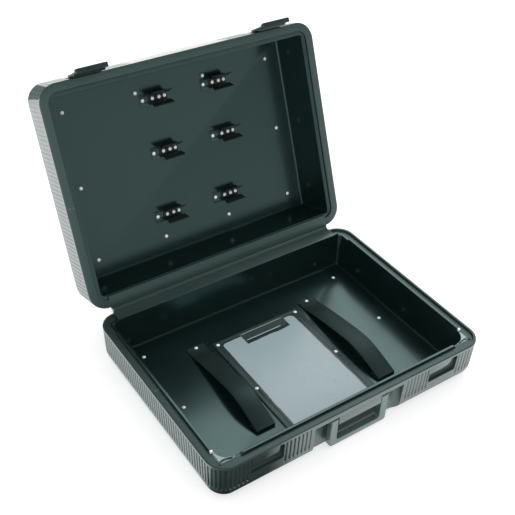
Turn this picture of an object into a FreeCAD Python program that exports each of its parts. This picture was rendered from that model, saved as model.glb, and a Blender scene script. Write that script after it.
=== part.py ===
import FreeCAD, Part
import os
import re
import Sketcher

# Hard tool case, standing open. Millimetres, +Z up, +Y towards the hinge.
# The origin is the middle of the base's underside. The lid's pieces are drawn
# where they lie when the case is shut, and are then turned open about the hinge.

# Driving sizes, in millimetres, degrees and counts
SIZES = {
    # Case
    "case_width": 450.0,
    "case_depth": 330.0,
    "base_height": 65.0,
    "lid_height": 71.5,
    "parting_gap": 0.4,
    "lid_open_angle": 111.0,
    "corner_radius": 28.0,
    "edge_radius": 21.0,
    "wall_draft": 2.6,
    "shell_wall": 2.6,
    "base_floor": 3.0,
    "lid_floor": 2.0,
    "rim_thickness": 3.6,
    # Liners
    "liner_wall": 1.6,
    "liner_draft": 4.2,
    "liner_corner_radius": 4.5,
    "liner_edge_radius": 5.0,
    "seam_gap": 0.6,
    "base_rim_width": 11.6,
    "base_opening_inset": 17.1,
    "lid_rim_width": 12.4,
    "lid_opening_inset": 19.6,
    # Fits
    "fit_clearance": 0.3,
    "pin_clearance": 0.05,
    "cut_overrun": 2.0,
    # Hinge
    "hinge_setback": 5.0,
    "hinge_side_margin": 30.0,
    "knuckle_count": 13,
    "knuckle_radius": 3.6,
    "knuckle_gap": 0.5,
    "hinge_pin_radius": 1.2,
    "leaf_thickness": 1.6,
    "leaf_reach": 11.0,
    "stop_width": 20.0,
    "stop_side_margin": 55.0,
    "stop_near_radius": 6.5,
    "stop_far_radius": 13.5,
    "stop_root_height": 6.0,
    # Latches
    "latch_side_margin": 76.0,
    "latch_width": 47.0,
    "latch_thickness": 3.6,
    "latch_length": 34.0,
    "latch_standoff": 0.5,
    "latch_lift_angle": 11.0,
    "latch_barrel_radius": 3.2,
    "latch_pin_radius": 1.2,
    "latch_pin_anchor": 2.4,
    "latch_pivot_inset": 3.5,
    "latch_pivot_height": 10.0,
    "lip_reach": 3.0,
    "lip_height": 4.0,
    "hook_reach": 1.8,
    "hook_height": 3.6,
    "hook_gap": 0.5,
    "recess_width": 51.0,
    "recess_depth": 7.0,
    "recess_height": 28.5,
    "lid_recess_height": 20.0,
    "recess_radius": 3.0,
    "keeper_width": 43.0,
    "keeper_height": 17.5,
    "keeper_rise": 3.2,
    "rim_band": 4.5,
    "housing_wall": 3.0,
    # Handle
    "bay_width": 149.0,
    "bay_depth": 12.5,
    "bay_band": 8.5,
    "bay_radius": 9.0,
    "bay_wall": 2.2,
    "boss_width": 72.0,
    "boss_height": 14.5,
    "handle_width": 97.0,
    "handle_leg": 11.6,
    "handle_bar": 9.0,
    "handle_thickness": 9.5,
    "handle_lift": 4.0,
    "handle_corner_radius": 5.0,
    "handle_edge_radius": 1.5,
    "handle_pivot_drop": 8.0,
    "handle_head": 5.0,
    "handle_pin_radius": 2.0,
    "handle_pin_anchor": 8.0,
    # Rivets
    "rivet_head_radius": 2.7,
    "rivet_head_height": 1.2,
    "rivet_shank_radius": 1.6,
    "rivet_end_recess": 0.3,
    "lid_rivet_side_margin": 50.5,
    "lid_rivet_end_margin": 51.5,
    "base_rivet_side_margin": 49.0,
    "base_rivet_end_margin": 48.2,
    # Tool clips
    "clip_length": 31.0,
    "clip_height": 19.0,
    "clip_half_gap": 7.6,
    "clip_thickness": 1.6,
    "clip_waist_depth": 11.0,
    "clip_pinch": 1.2,
    "clip_flare": 1.6,
    "clip_flange": 15.0,
    "clip_flange_thickness": 0.8,
    "clip_flange_rivet": 10.4,
    "clip_first_rivet": 5.9,
    "clip_second_rivet": 17.2,
    "clip_third_rivet": 26.4,
    "clip_left_edge": -39.0,
    "clip_column_pitch": 105.0,
    "clip_lower_shift": 16.0,
    "clip_top_margin": 65.0,
    "clip_middle_row": 18.5,
    "clip_bottom_margin": 86.0,
    # Straps
    "strap_pocket_gap": 9.5,
    "strap_width": 30.0,
    "strap_thickness": 1.8,
    "strap_back_margin": 85.0,
    "strap_left_front_margin": 71.0,
    "strap_right_front_margin": 61.5,
    "strap_riser": 5.0,
    "strap_shoulder": 9.0,
    "strap_crown": 20.5,
    "strap_front_rise": 5.0,
    "strap_tab": 10.0,
    "strap_fold": 17.0,
    "strap_rivet_inset": 6.0,
    "strap_fold_inset": 9.5,
    # Document pocket
    "pocket_width": 155.0,
    "pocket_back_margin": 79.5,
    "pocket_front_margin": 29.0,
    "pocket_sheet": 0.6,
    "pocket_hem": 9.5,
    "pocket_back_hem": 6.0,
    "pocket_rivet_inset": 6.4,
    "slot_width": 78.0,
    "slot_depth": 15.0,
    "slot_radius": 7.0,
    "slot_offset": 8.0,
}

LINEAR_MARK = 0.01

# Levels and planes that many pieces share, written in the driving sizes
FRONT = "-case_depth/2"
BACK = "case_depth/2"
BASE_RIM = "base_height"
BASE_SEAT = "(base_floor + liner_wall)"
LID_RIM = "(base_height + parting_gap)"
LID_TOP = "(base_height + parting_gap + lid_height)"
LID_SEAT = "(base_height + parting_gap + lid_height - lid_floor - liner_wall)"
HINGE_Y = "(case_depth/2 + hinge_setback)"
HINGE_Z = "(base_height + parting_gap/2)"
LATCH_Y = "(latch_pivot_inset - case_depth/2)"
LATCH_Z = "(base_height + parting_gap + latch_pivot_height)"
HANDLE_Y = "(handle_thickness/2 - case_depth/2)"
HANDLE_Z = "(base_height - bay_band - handle_pivot_drop)"
HINGE_LENGTH = "(case_width - 2*hinge_side_margin)"
STOP_SPACING = "(case_width - 2*stop_side_margin)"
LATCH_SPACING = "(case_width - 2*latch_side_margin)"
LID_COLUMN = "(case_width/2 - lid_rivet_side_margin)"
LID_ROW = "(case_depth/2 - lid_rivet_end_margin)"
BASE_COLUMN = "(case_width/2 - base_rivet_side_margin)"
BASE_ROW = "(case_depth/2 - base_rivet_end_margin)"
STRAP_COLUMN = "(pocket_width/2 + strap_pocket_gap + strap_width/2)"
STRAP_BACK = "(case_depth/2 - strap_back_margin)"
STRAP_FRONTS = {
    -1: "(strap_left_front_margin - case_depth/2)",
    1: "(strap_right_front_margin - case_depth/2)",
}
POCKET_BACK = "(case_depth/2 - pocket_back_margin)"
POCKET_FRONT = "(pocket_front_margin - case_depth/2)"
POCKET_RIVET_PITCH = f"(({POCKET_BACK} - {POCKET_FRONT})/2 - pocket_rivet_inset)"

doc = FreeCAD.newDocument("ToolCase")
sheet = doc.addObject("Spreadsheet::Sheet", "Sizes")
for row, (alias, size) in enumerate(SIZES.items(), start=1):
    sheet.set(f"A{row}", alias)
    sheet.set(f"B{row}", str(size))
    sheet.setAlias(f"B{row}", alias)
doc.recompute()


# Expressions


def linked(text):
    """The expression with each size's name pointing into the sheet."""
    return re.sub(r"[a-z]+(?:_[a-z]+)+", lambda found: "Sizes." + found.group(), text)


def number(text):
    """What an expression comes to now."""
    return float(sheet.evalExpression(linked(text)))


def bind(thing, path, text):
    """Tie one property of an object to an expression in the sizes."""
    thing.setExpression(path, linked(text))


def place(thing, x, y, z):
    """Tie an object's position to three expressions."""
    bind(thing, "Placement.Base.x", x)
    bind(thing, "Placement.Base.y", y)
    bind(thing, "Placement.Base.z", z)
    return thing


# Primitives and booleans


def block(name, x, y, z):
    """A box between a low and a high expression along each axis."""
    box = doc.addObject("Part::Box", name)
    for side, (low, high) in zip(("Length", "Width", "Height"), (x, y, z)):
        bind(box, side, f"({high}) - ({low})")
    return place(box, x[0], y[0], z[0])


def rod_along_x(name, x, y, z, radius):
    """A round rod from x[0] to x[1], centred on y and z."""
    rod = doc.addObject("Part::Cylinder", name)
    rod.Placement = FreeCAD.Placement(
        FreeCAD.Vector(), FreeCAD.Rotation(FreeCAD.Vector(0, 1, 0), 90)
    )
    bind(rod, "Radius", radius)
    bind(rod, "Height", f"({x[1]}) - ({x[0]})")
    return place(rod, x[0], y, z)


def rod_along_z(name, x, y, z, radius):
    """A round rod from z[0] to z[1], centred on x and y."""
    rod = doc.addObject("Part::Cylinder", name)
    bind(rod, "Radius", radius)
    bind(rod, "Height", f"({z[1]}) - ({z[0]})")
    return place(rod, x, y, z[0])


def joined(name, pieces):
    """One solid, or one cutting tool, from several pieces."""
    fuse = doc.addObject("Part::MultiFuse", name)
    fuse.Shapes = pieces
    fuse.Refine = True
    return fuse


def less(name, base, tool):
    """The base with the tool's space removed."""
    cut = doc.addObject("Part::Cut", name)
    cut.Base = base
    cut.Tool = tool
    return cut


def group(name, pieces):
    """Separate solids kept in one piece of the record."""
    compound = doc.addObject("Part::Compound", name)
    compound.Links = pieces
    return compound


# Sketches and bodies


def plane_sketch(body, name, plane):
    """An empty sketch on one of the body's own origin planes."""
    sketch = body.newObject("Sketcher::SketchObject", name)
    support = [item for item in body.Origin.OriginFeatures if item.Role == plane][0]
    sketch.AttachmentSupport = [(support, "")]
    sketch.MapMode = "FlatFace"
    return sketch


def rounded_rectangle(body, name, plane, width, height, radius, offset):
    """A rectangle with round corners, centred on the sketch's own origin."""
    sketch = plane_sketch(body, name, plane)
    for axis, text in zip("xyz", offset):
        bind(sketch, f"AttachmentOffset.Base.{axis}", text)
    across, up, r = number(width) / 2, number(height) / 2, number(radius)
    inner_x, inner_y = across - r, up - r
    corners = ((inner_x, inner_y), (-inner_x, inner_y), (-inner_x, -inner_y), (inner_x, -inner_y))
    turns = ((1, 0), (0, 1), (-1, 0), (0, -1), (1, 0))
    arcs = []
    for (cx, cy), start, end in zip(corners, turns, turns[1:]):
        middle = FreeCAD.Vector(start[0] + end[0], start[1] + end[1], 0).normalize()
        points = [
            FreeCAD.Vector(cx + r * way[0], cy + r * way[1], 0) for way in (start, middle, end)
        ]
        arcs.append(sketch.addGeometry(Part.Arc(*points), False))
    sides = []
    for arc, following in zip(arcs, arcs[1:] + arcs[:1]):
        start = sketch.Geometry[arc].EndPoint
        end = sketch.Geometry[following].StartPoint
        side = sketch.addGeometry(Part.LineSegment(start, end), False)
        sketch.addConstraint(Sketcher.Constraint("Tangent", arc, 2, side, 1))
        sketch.addConstraint(Sketcher.Constraint("Tangent", side, 2, following, 1))
        sides.append(side)
    top, left, bottom, right = sides
    for side in (top, bottom):
        sketch.addConstraint(Sketcher.Constraint("Horizontal", side))
    for side in (left, right):
        sketch.addConstraint(Sketcher.Constraint("Vertical", side))
    for arc in arcs[1:]:
        sketch.addConstraint(Sketcher.Constraint("Equal", arcs[0], arc))
    sketch.addConstraint(Sketcher.Constraint("Symmetric", arcs[0], 3, arcs[2], 3, -1, 1))
    driving = (
        ("Radius", (arcs[0], r), radius),
        ("DistanceX", (left, 1, right, 1, 2 * across), width),
        ("DistanceY", (bottom, 1, top, 1, 2 * up), height),
    )
    for kind, details, text in driving:
        index = sketch.addConstraint(Sketcher.Constraint(kind, *details))
        sketch.renameConstraint(index, kind)
        bind(sketch, f"Constraints.{kind}", text)
    return sketch


def outline(body, name, plane, points):
    """A closed outline through points of two expressions each. A point with a third
    expression starts an arc of that radius, which bulges to the right of its way,
    or to the left where a fourth value of -1 follows."""
    sketch = plane_sketch(body, name, plane)
    spots = [FreeCAD.Vector(number(point[0]), number(point[1]), 0) for point in points]
    ends = []
    for here, there, point in zip(spots, spots[1:] + spots[:1], points):
        if len(point) == 2:
            ends.append((sketch.addGeometry(Part.LineSegment(here, there), False), 1, 2))
            continue
        radius = number(point[2])
        half = (there - here) * 0.5
        across = FreeCAD.Vector(half.y, -half.x, 0).normalize()
        rise = radius - (radius * radius - half.Length * half.Length) ** 0.5
        hand = point[3] if len(point) == 4 else 1
        crown = here + half + across * rise * hand
        forward = hand == 1
        curve = Part.Arc(here, crown, there) if forward else Part.Arc(there, crown, here)
        arc = sketch.addGeometry(curve, False)
        ends.append((arc, 1, 2) if forward else (arc, 2, 1))
        index = sketch.addConstraint(Sketcher.Constraint("Radius", arc, radius))
        sketch.renameConstraint(index, f"radius_{len(ends)}")
        bind(sketch, f"Constraints.radius_{len(ends)}", point[2])
    for (edge, _, end), (following, start, _) in zip(ends, ends[1:] + ends[:1]):
        sketch.addConstraint(Sketcher.Constraint("Coincident", edge, end, following, start))
    for count, ((edge, start, _), point, spot) in enumerate(zip(ends, points, spots)):
        for kind, text, size in (("DistanceX", point[0], spot.x), ("DistanceY", point[1], spot.y)):
            details = Sketcher.Constraint(kind, -1, 1, edge, start, size)
            index = sketch.addConstraint(details)
            sketch.renameConstraint(index, f"{kind}_{count}")
            bind(sketch, f"Constraints.{kind}_{count}", text)
    return sketch


def level_edges(feature, level):
    """Names of the edges that lie wholly at one height."""
    names = []
    for count, edge in enumerate(feature.Shape.Edges, start=1):
        box = edge.BoundBox
        if max(abs(box.ZMin - level), abs(box.ZMax - level)) < LINEAR_MARK:
            names.append(f"Edge{count}")
    return names


def tub(name, rim, crown, width, depth, radius, inset, edge, closed_radius=None):
    """A solid tray with leaning walls, from its mouth to its rounded closed end.
    It is drawn standing on its closed end, and turned over where the mouth is lower.
    Its corners tighten towards the closed end unless that end has a radius of its own."""
    upright = number(rim) > number(crown)
    height = f"({rim}) - ({crown})" if upright else f"({crown}) - ({rim})"
    body = doc.addObject("PartDesign::Body", name)
    mouth = rounded_rectangle(
        body, name + "_mouth", "XY_Plane", width, depth, radius, ("0", "0", height)
    )
    closed = rounded_rectangle(
        body,
        name + "_closed_end",
        "XY_Plane",
        f"{width} - 2*{inset}",
        f"{depth} - 2*{inset}",
        closed_radius or f"{radius} - {inset}",
        ("0", "0", "0"),
    )
    loft = body.newObject("PartDesign::AdditiveLoft", name + "_walls")
    loft.Profile = mouth
    loft.Sections = [closed]
    loft.Ruled = True
    doc.recompute()
    rounding = body.newObject("PartDesign::Fillet", name + "_rounding")
    rounding.Base = (loft, level_edges(loft, 0))
    bind(rounding, "Radius", edge)
    if not upright:
        body.Placement = FreeCAD.Placement(
            FreeCAD.Vector(), FreeCAD.Rotation(FreeCAD.Vector(1, 0, 0), 180)
        )
    return place(body, "0", "0", crown)


def prism(name, plane, width, height, radius, offset, length):
    """A bar of rounded rectangular section, padded from its sketch."""
    body = doc.addObject("PartDesign::Body", name)
    sketch = rounded_rectangle(body, name + "_section", plane, width, height, radius, offset)
    pad = body.newObject("PartDesign::Pad", name + "_pad")
    pad.Profile = sketch
    bind(pad, "Length", length)
    return body


def profile_bar(name, points, length):
    """A bar along X, evenly about the middle, whose side view is the outline."""
    body = doc.addObject("PartDesign::Body", name)
    sketch = outline(body, name + "_profile", "YZ_Plane", points)
    pad = body.newObject("PartDesign::Pad", name + "_pad")
    pad.Profile = sketch
    pad.Midplane = True
    bind(pad, "Length", length)
    return body


# Rivets: a domed head on a shank that ends just inside the outer shell

RIVET_SPHERE = "((rivet_head_radius^2 + rivet_head_height^2)/(2*rivet_head_height))"


def rivet(name, x, y, seat, end):
    """One rivet whose head stands on the seat and whose shank runs to the end."""
    dome = doc.addObject("Part::Sphere", name + "_dome")
    bind(dome, "Radius", RIVET_SPHERE)
    bind(dome, "Angle1", f"asin(({RIVET_SPHERE} - rivet_head_height)/{RIVET_SPHERE})")
    sunk = f"({RIVET_SPHERE} - rivet_head_height)"
    if number(end) > number(seat):
        dome.Placement = FreeCAD.Placement(
            FreeCAD.Vector(), FreeCAD.Rotation(FreeCAD.Vector(1, 0, 0), 180)
        )
        place(dome, x, y, f"{seat} + {sunk}")
        shank = rod_along_z(name + "_shank", x, y, (seat, end), "rivet_shank_radius")
    else:
        place(dome, x, y, f"{seat} - {sunk}")
        shank = rod_along_z(name + "_shank", x, y, (end, seat), "rivet_shank_radius")
    return joined(name, [dome, shank])


def rivets(name, places, seat, end):
    """A group of like rivets."""
    return group(
        name, [rivet(f"{name}_{count}", x, y, seat, end) for count, (x, y) in enumerate(places)]
    )


def rivet_holes(name, places, z):
    """Clearance holes for rivets, as a list of cutting tools."""
    return [
        rod_along_z(f"{name}_{count}", x, y, z, "rivet_shank_radius + pin_clearance")
        for count, (x, y) in enumerate(places)
    ]


LID_LINER_PLACES = [
    (f"{column}*{LID_COLUMN}", f"{row}*{LID_ROW}")
    for row in (-1, 1)
    for column in (-1, "-1/3", "1/3", 1)
] + [(f"-{LID_COLUMN}", "0"), (LID_COLUMN, "0")]

BASE_LINER_PLACES = [
    (f"{column}*{BASE_COLUMN}", f"{row}*{BASE_ROW}")
    for row in (-1, 0, 1)
    for column in (-1, 1)
]

STRAP_PLACES = [
    (f"{side}*{STRAP_COLUMN}", end)
    for side in (-1, 1)
    for end in (
        f"{STRAP_FRONTS[side]} + strap_fold_inset",
        f"{STRAP_BACK} + strap_riser + strap_rivet_inset",
    )
]

POCKET_PLACES = [
    (
        f"{side}*(pocket_width/2 - pocket_rivet_inset)",
        f"{POCKET_BACK} - pocket_rivet_inset - {count}*{POCKET_RIVET_PITCH}",
    )
    for side in (-1, 1)
    for count in (0, 1, 2)
]

# Each clip's name, the left edge of its channel and the middle of its row
CLIPS = {
    f"tool_clip_{row}_{side}": (
        f"clip_left_edge + {column}*clip_column_pitch - {shifted}*clip_lower_shift",
        level,
    )
    for row, shifted, level in (
        ("top", 0, "clip_top_margin - case_depth/2"),
        ("middle", 0, "-clip_middle_row"),
        ("bottom", 1, "case_depth/2 - clip_bottom_margin"),
    )
    for side, column in (("left", 0), ("right", 1))
}

CLIP_FLANGE_PLACES = [(f"{edge} - clip_flange_rivet", row) for edge, row in CLIPS.values()]

CLIP_CHANNEL_PLACES = [
    (f"{edge} + {along}", row)
    for edge, row in CLIPS.values()
    for along in ("clip_first_rivet", "clip_second_rivet", "clip_third_rivet")
]

CLIP_PLACES = CLIP_FLANGE_PLACES + CLIP_CHANNEL_PLACES


# Shells and liners


def rim_ring_cuts(name, rim, way, rim_width, opening_inset):
    """The mouth through the rim and the ledge on which the liner's flange lies.
    The way is 1 where the shell opens upwards and -1 where it opens downwards."""
    opening = f"({opening_inset} - liner_wall - fit_clearance)"
    low = "- rim_thickness - cut_overrun" if way == 1 else "- cut_overrun"
    mouth = prism(
        name + "_mouth_cut",
        "XY_Plane",
        f"case_width - 2*{opening}",
        f"case_depth - 2*{opening}",
        "liner_corner_radius + liner_wall + fit_clearance",
        ("0", "0", f"{rim} {low}"),
        "rim_thickness + 2*cut_overrun",
    )
    step_low = "- liner_wall" if way == 1 else "- cut_overrun"
    step = prism(
        name + "_ledge_cut",
        "XY_Plane",
        f"case_width - 2*{rim_width}",
        f"case_depth - 2*{rim_width}",
        f"corner_radius - {rim_width}",
        ("0", "0", f"{rim} {step_low}"),
        "liner_wall + cut_overrun",
    )
    return [mouth, step]


def recess_cut(name, side, low, height):
    """A latch recess in the front wall, with round corners."""
    return prism(
        name,
        "XZ_Plane",
        "recess_width",
        height,
        "recess_radius",
        (f"{side}*{LATCH_SPACING}/2", f"{low} + {height}/2", "case_depth/2 - recess_depth"),
        "recess_depth + cut_overrun",
    )


def recess_housing(name, side, low, high):
    """The closed wall round a latch recess, inside the hollow of a shell."""
    reach = "(recess_width/2 + housing_wall)"
    middle = f"{side}*{LATCH_SPACING}/2"
    return block(
        name,
        (f"{middle} - {reach}", f"{middle} + {reach}"),
        (FRONT, f"{FRONT} + recess_depth + shell_wall"),
        (low, high),
    )


def stop_lug(name, side, way):
    """A wedge on the back wall. The lid's wedge meets the base's when the lid is open.
    The way is -1 below the hinge and 1 above it."""
    half_turn = "(90 - lid_open_angle/2)"
    out = f"sin({half_turn})"
    down = f"cos({half_turn})"
    face = [
        (
            f"{HINGE_Y} + {radius}*{out} - fit_clearance/2*{down}",
            f"{HINGE_Z} + {way}*({radius}*{down} + fit_clearance/2*{out})",
        )
        for radius in ("stop_near_radius", "stop_far_radius")
    ]
    root = f"{BACK} - shell_wall"
    points = [
        (root, f"{HINGE_Z} + {way}*stop_near_radius*{down}"),
        face[0],
        face[1],
        (root, f"{HINGE_Z} + {way}*(stop_far_radius*{down} + stop_root_height)"),
    ]
    lug = profile_bar(name, points if way == -1 else points[::-1], "stop_width")
    bind(lug, "Placement.Base.x", f"{side}*{STOP_SPACING}/2")
    return lug


def leaf_seat(name, z):
    """The rebate in the back rim that takes a hinge leaf."""
    return block(
        name,
        (f"-{HINGE_LENGTH}/2 - fit_clearance", f"{HINGE_LENGTH}/2 + fit_clearance"),
        (f"{BACK} - leaf_reach - fit_clearance", f"{BACK} + cut_overrun"),
        z,
    )


def latch_pin_holes(name, side):
    """The bore in both side walls of a lid recess that anchors a latch pin."""
    reach = "(recess_width/2 + latch_pin_anchor + fit_clearance)"
    middle = f"{side}*{LATCH_SPACING}/2"
    return rod_along_x(
        name,
        (f"{middle} - {reach}", f"{middle} + {reach}"),
        LATCH_Y,
        LATCH_Z,
        "latch_pin_radius + pin_clearance",
    )


def base_shell():
    """The lower outer shell, with the handle's bay and the latch recesses in its front.
    A raised pad stands in the upper part of each recess, behind the latch's hook."""
    outer = tub(
        "base_outer", BASE_RIM, "0", "case_width", "case_depth",
        "corner_radius", "wall_draft", "edge_radius",
    )
    hollow = tub(
        "base_hollow", "base_height - rim_thickness", "base_floor",
        "(case_width - 2*shell_wall)", "(case_depth - 2*shell_wall)",
        "(corner_radius - shell_wall)", "wall_draft", "edge_radius - shell_wall",
    )
    recess_low = "(base_height - rim_band - recess_height)"
    bay_reach = "(bay_width/2 + bay_wall)"
    kept = [
        block(
            "bay_housing",
            (f"-{bay_reach}", bay_reach),
            (FRONT, f"{FRONT} + bay_depth + bay_wall"),
            ("0", BASE_RIM),
        )
    ]
    for side in (-1, 1):
        kept.append(
            recess_housing(f"base_recess_housing_{side + 1}", side, f"{recess_low} - shell_wall", BASE_RIM)
        )
    walls = less("base_walls", outer, less("base_hollow_cut", hollow, joined("base_housings", kept)))
    lugs = [stop_lug(f"base_stop_{side + 1}", side, -1) for side in (-1, 1)]
    solid = joined("base_walls_and_stops", [walls] + lugs)
    bay = prism(
        "bay_space", "XY_Plane", "bay_width", "2*bay_depth", "bay_radius",
        ("0", FRONT, "-cut_overrun"), "base_height - bay_band + cut_overrun",
    )
    boss = block(
        "handle_boss",
        ("-boss_width/2", "boss_width/2"),
        (FRONT, f"{FRONT} + bay_depth"),
        ("base_height - bay_band - boss_height", "base_height - bay_band"),
    )
    cuts = rim_ring_cuts("base", BASE_RIM, 1, "base_rim_width", "base_opening_inset")
    cuts.append(less("bay_cut", bay, boss))
    for side in (-1, 1):
        recess = recess_cut(f"base_recess_{side + 1}", side, recess_low, "recess_height")
        middle = f"{side}*{LATCH_SPACING}/2"
        keeper = block(
            f"keeper_{side + 1}",
            (f"{middle} - keeper_width/2", f"{middle} + keeper_width/2"),
            (f"{FRONT} + recess_depth - keeper_rise", f"{FRONT} + recess_depth"),
            ("base_height - rim_band - keeper_height", "base_height - rim_band"),
        )
        cuts.append(less(f"base_recess_space_{side + 1}", recess, keeper))
        reach = sorted(
            (f"{side}*(boss_width/2 - handle_pin_anchor)", f"{side}*boss_width/2"), key=number
        )
        cuts.append(
            rod_along_x(
                f"boss_bore_{side + 1}", reach, HANDLE_Y, HANDLE_Z,
                "handle_pin_radius + pin_clearance",
            )
        )
    cuts.append(leaf_seat("base_leaf_seat", ("base_height - leaf_thickness", "base_height + cut_overrun")))
    cuts += rivet_holes(
        "base_shell_hole",
        BASE_LINER_PLACES + STRAP_PLACES + POCKET_PLACES,
        ("-cut_overrun", "base_floor + cut_overrun"),
    )
    return less("base_shell", solid, joined("base_shell_cuts", cuts))


def lid_shell():
    """The upper outer shell, drawn shut, with a recess for each latch."""
    outer = tub(
        "lid_outer", LID_RIM, LID_TOP, "case_width", "case_depth",
        "corner_radius", "wall_draft", "edge_radius",
    )
    hollow = tub(
        "lid_hollow", f"{LID_RIM} + rim_thickness", f"{LID_TOP} - lid_floor",
        "(case_width - 2*shell_wall)", "(case_depth - 2*shell_wall)",
        "(corner_radius - shell_wall)", "wall_draft", "edge_radius - shell_wall",
    )
    recess_low = f"({LID_RIM} + rim_band)"
    kept = []
    for side in (-1, 1):
        high = f"{recess_low} + lid_recess_height + shell_wall"
        kept.append(recess_housing(f"lid_recess_housing_{side + 1}", side, LID_RIM, high))
    walls = less("lid_walls", outer, less("lid_hollow_cut", hollow, joined("lid_housings", kept)))
    lugs = [stop_lug(f"lid_stop_{side + 1}", side, 1) for side in (-1, 1)]
    solid = joined("lid_walls_and_stops", [walls] + lugs)
    cuts = rim_ring_cuts("lid", LID_RIM, -1, "lid_rim_width", "lid_opening_inset")
    for side in (-1, 1):
        cuts.append(recess_cut(f"lid_recess_{side + 1}", side, recess_low, "lid_recess_height"))
        cuts.append(latch_pin_holes(f"lid_pin_hole_{side + 1}", side))
    cuts.append(leaf_seat("lid_leaf_seat", (f"{LID_RIM} - cut_overrun", f"{LID_RIM} + leaf_thickness")))
    cuts += rivet_holes(
        "lid_shell_hole",
        LID_LINER_PLACES + CLIP_PLACES,
        (f"{LID_TOP} - lid_floor - cut_overrun", f"{LID_TOP} + cut_overrun"),
    )
    return less("lid_shell", solid, joined("lid_shell_cuts", cuts))


def liner(name, rim, way, closed_end, rim_width, opening_inset, places):
    """A thin tray whose flange lies on the shell's ledge and whose floor lies on the shell's."""
    shoulder = f"({opening_inset} - liner_wall)"
    outer = tub(
        name + "_outer", rim, closed_end,
        f"(case_width - 2*{shoulder})", f"(case_depth - 2*{shoulder})",
        "(liner_corner_radius + liner_wall)", "liner_draft", "liner_edge_radius",
        "liner_corner_radius + liner_wall",
    )
    inner = tub(
        name + "_inner", rim, f"{closed_end} + {way}*liner_wall",
        f"(case_width - 2*{opening_inset})", f"(case_depth - 2*{opening_inset})",
        "liner_corner_radius", "liner_draft", "liner_edge_radius - liner_wall",
        "liner_corner_radius",
    )
    seam = f"({rim_width} + seam_gap)"
    flange = prism(
        name + "_flange", "XY_Plane",
        f"case_width - 2*{seam}", f"case_depth - 2*{seam}", f"corner_radius - {seam}",
        ("0", "0", f"{rim} - liner_wall" if way == 1 else rim), "liner_wall",
    )
    ends = (
        f"{closed_end} + {way}*(liner_wall + cut_overrun)",
        f"{closed_end} - {way}*cut_overrun",
    )
    holes = rivet_holes(name + "_hole", places, sorted(ends, key=number))
    tray = joined(name + "_tray", [outer, flange])
    return less(name, tray, joined(name + "_cuts", [inner] + holes))


# Hinge


def hinge_leaf(name, way, odd):
    """A leaf let into one rim, with every other knuckle. The way is -1 for the lower leaf."""
    near = f"{HINGE_Y} - knuckle_radius - knuckle_gap"
    rim = BASE_RIM if way == -1 else LID_RIM
    z = sorted((rim, f"{rim} + {way}*leaf_thickness"), key=number)
    pieces = [
        block(
            name + "_plate",
            (f"-{HINGE_LENGTH}/2", f"{HINGE_LENGTH}/2"),
            (f"{BACK} - leaf_reach", near),
            z,
        )
    ]
    pitch = f"{HINGE_LENGTH}/knuckle_count"
    for count in range(odd, int(number("knuckle_count")), 2):
        x = (
            f"-{HINGE_LENGTH}/2 + {count}*{pitch} + knuckle_gap/2",
            f"-{HINGE_LENGTH}/2 + {count + 1}*{pitch} - knuckle_gap/2",
        )
        pieces.append(block(f"{name}_web_{count}", x, (near, HINGE_Y), z))
        pieces.append(rod_along_x(f"{name}_knuckle_{count}", x, HINGE_Y, HINGE_Z, "knuckle_radius"))
    bore = rod_along_x(
        name + "_bore",
        (f"-{HINGE_LENGTH}/2 - cut_overrun", f"{HINGE_LENGTH}/2 + cut_overrun"),
        HINGE_Y,
        HINGE_Z,
        "hinge_pin_radius + pin_clearance",
    )
    return less(name, joined(name + "_solid", pieces), bore)


def hinge_pin():
    """The wire on which both leaves turn."""
    return rod_along_x(
        "hinge_pin", (f"-{HINGE_LENGTH}/2", f"{HINGE_LENGTH}/2"), HINGE_Y, HINGE_Z, "hinge_pin_radius"
    )


# Latches


def latch(name, side):
    """A lid latch, drawn shut: barrel, plate, hook under the base's rim and finger lip."""
    inner = f"{FRONT} - latch_standoff"
    outer = f"{FRONT} - latch_standoff - latch_thickness"
    tip = f"{LATCH_Z} - latch_length"
    hook_top = "base_height - rim_band - hook_gap"
    hook_low = f"{hook_top} - hook_height"
    hook_tip = f"{FRONT} + hook_reach"
    points = [
        (LATCH_Y, f"{LATCH_Z} + latch_barrel_radius"),
        (outer, f"{LATCH_Z} + latch_barrel_radius"),
        (outer, f"{tip} + 2*lip_height"),
        (f"{outer} - lip_reach", f"{tip} + lip_height"),
        (f"{outer} - lip_reach", tip),
        (inner, tip),
        (inner, f"{hook_low} - hook_reach"),
        (hook_tip, hook_low),
        (hook_tip, hook_top),
        (inner, hook_top),
        (inner, f"{LATCH_Z} - latch_barrel_radius"),
        (LATCH_Y, f"{LATCH_Z} - latch_barrel_radius"),
    ]
    plate = profile_bar(name + "_plate", points, "latch_width")
    middle = f"{side}*{LATCH_SPACING}/2"
    bind(plate, "Placement.Base.x", middle)
    ends = (f"{middle} - latch_width/2", f"{middle} + latch_width/2")
    barrel = rod_along_x(name + "_barrel", ends, LATCH_Y, LATCH_Z, "latch_barrel_radius")
    through = (
        f"{middle} - latch_width/2 - cut_overrun",
        f"{middle} + latch_width/2 + cut_overrun",
    )
    bore = rod_along_x(
        name + "_bore", through, LATCH_Y, LATCH_Z, "latch_pin_radius + pin_clearance"
    )
    return less(name, joined(name + "_solid", [plate, barrel]), bore)


def latch_pin(name, side):
    """The pin of one latch, anchored in both side walls of its recess."""
    middle = f"{side}*{LATCH_SPACING}/2"
    reach = "(recess_width/2 + latch_pin_anchor)"
    ends = (f"{middle} - {reach}", f"{middle} + {reach}")
    return group(name, [rod_along_x(name + "_rod", ends, LATCH_Y, LATCH_Z, "latch_pin_radius")])


# Handle


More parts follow.
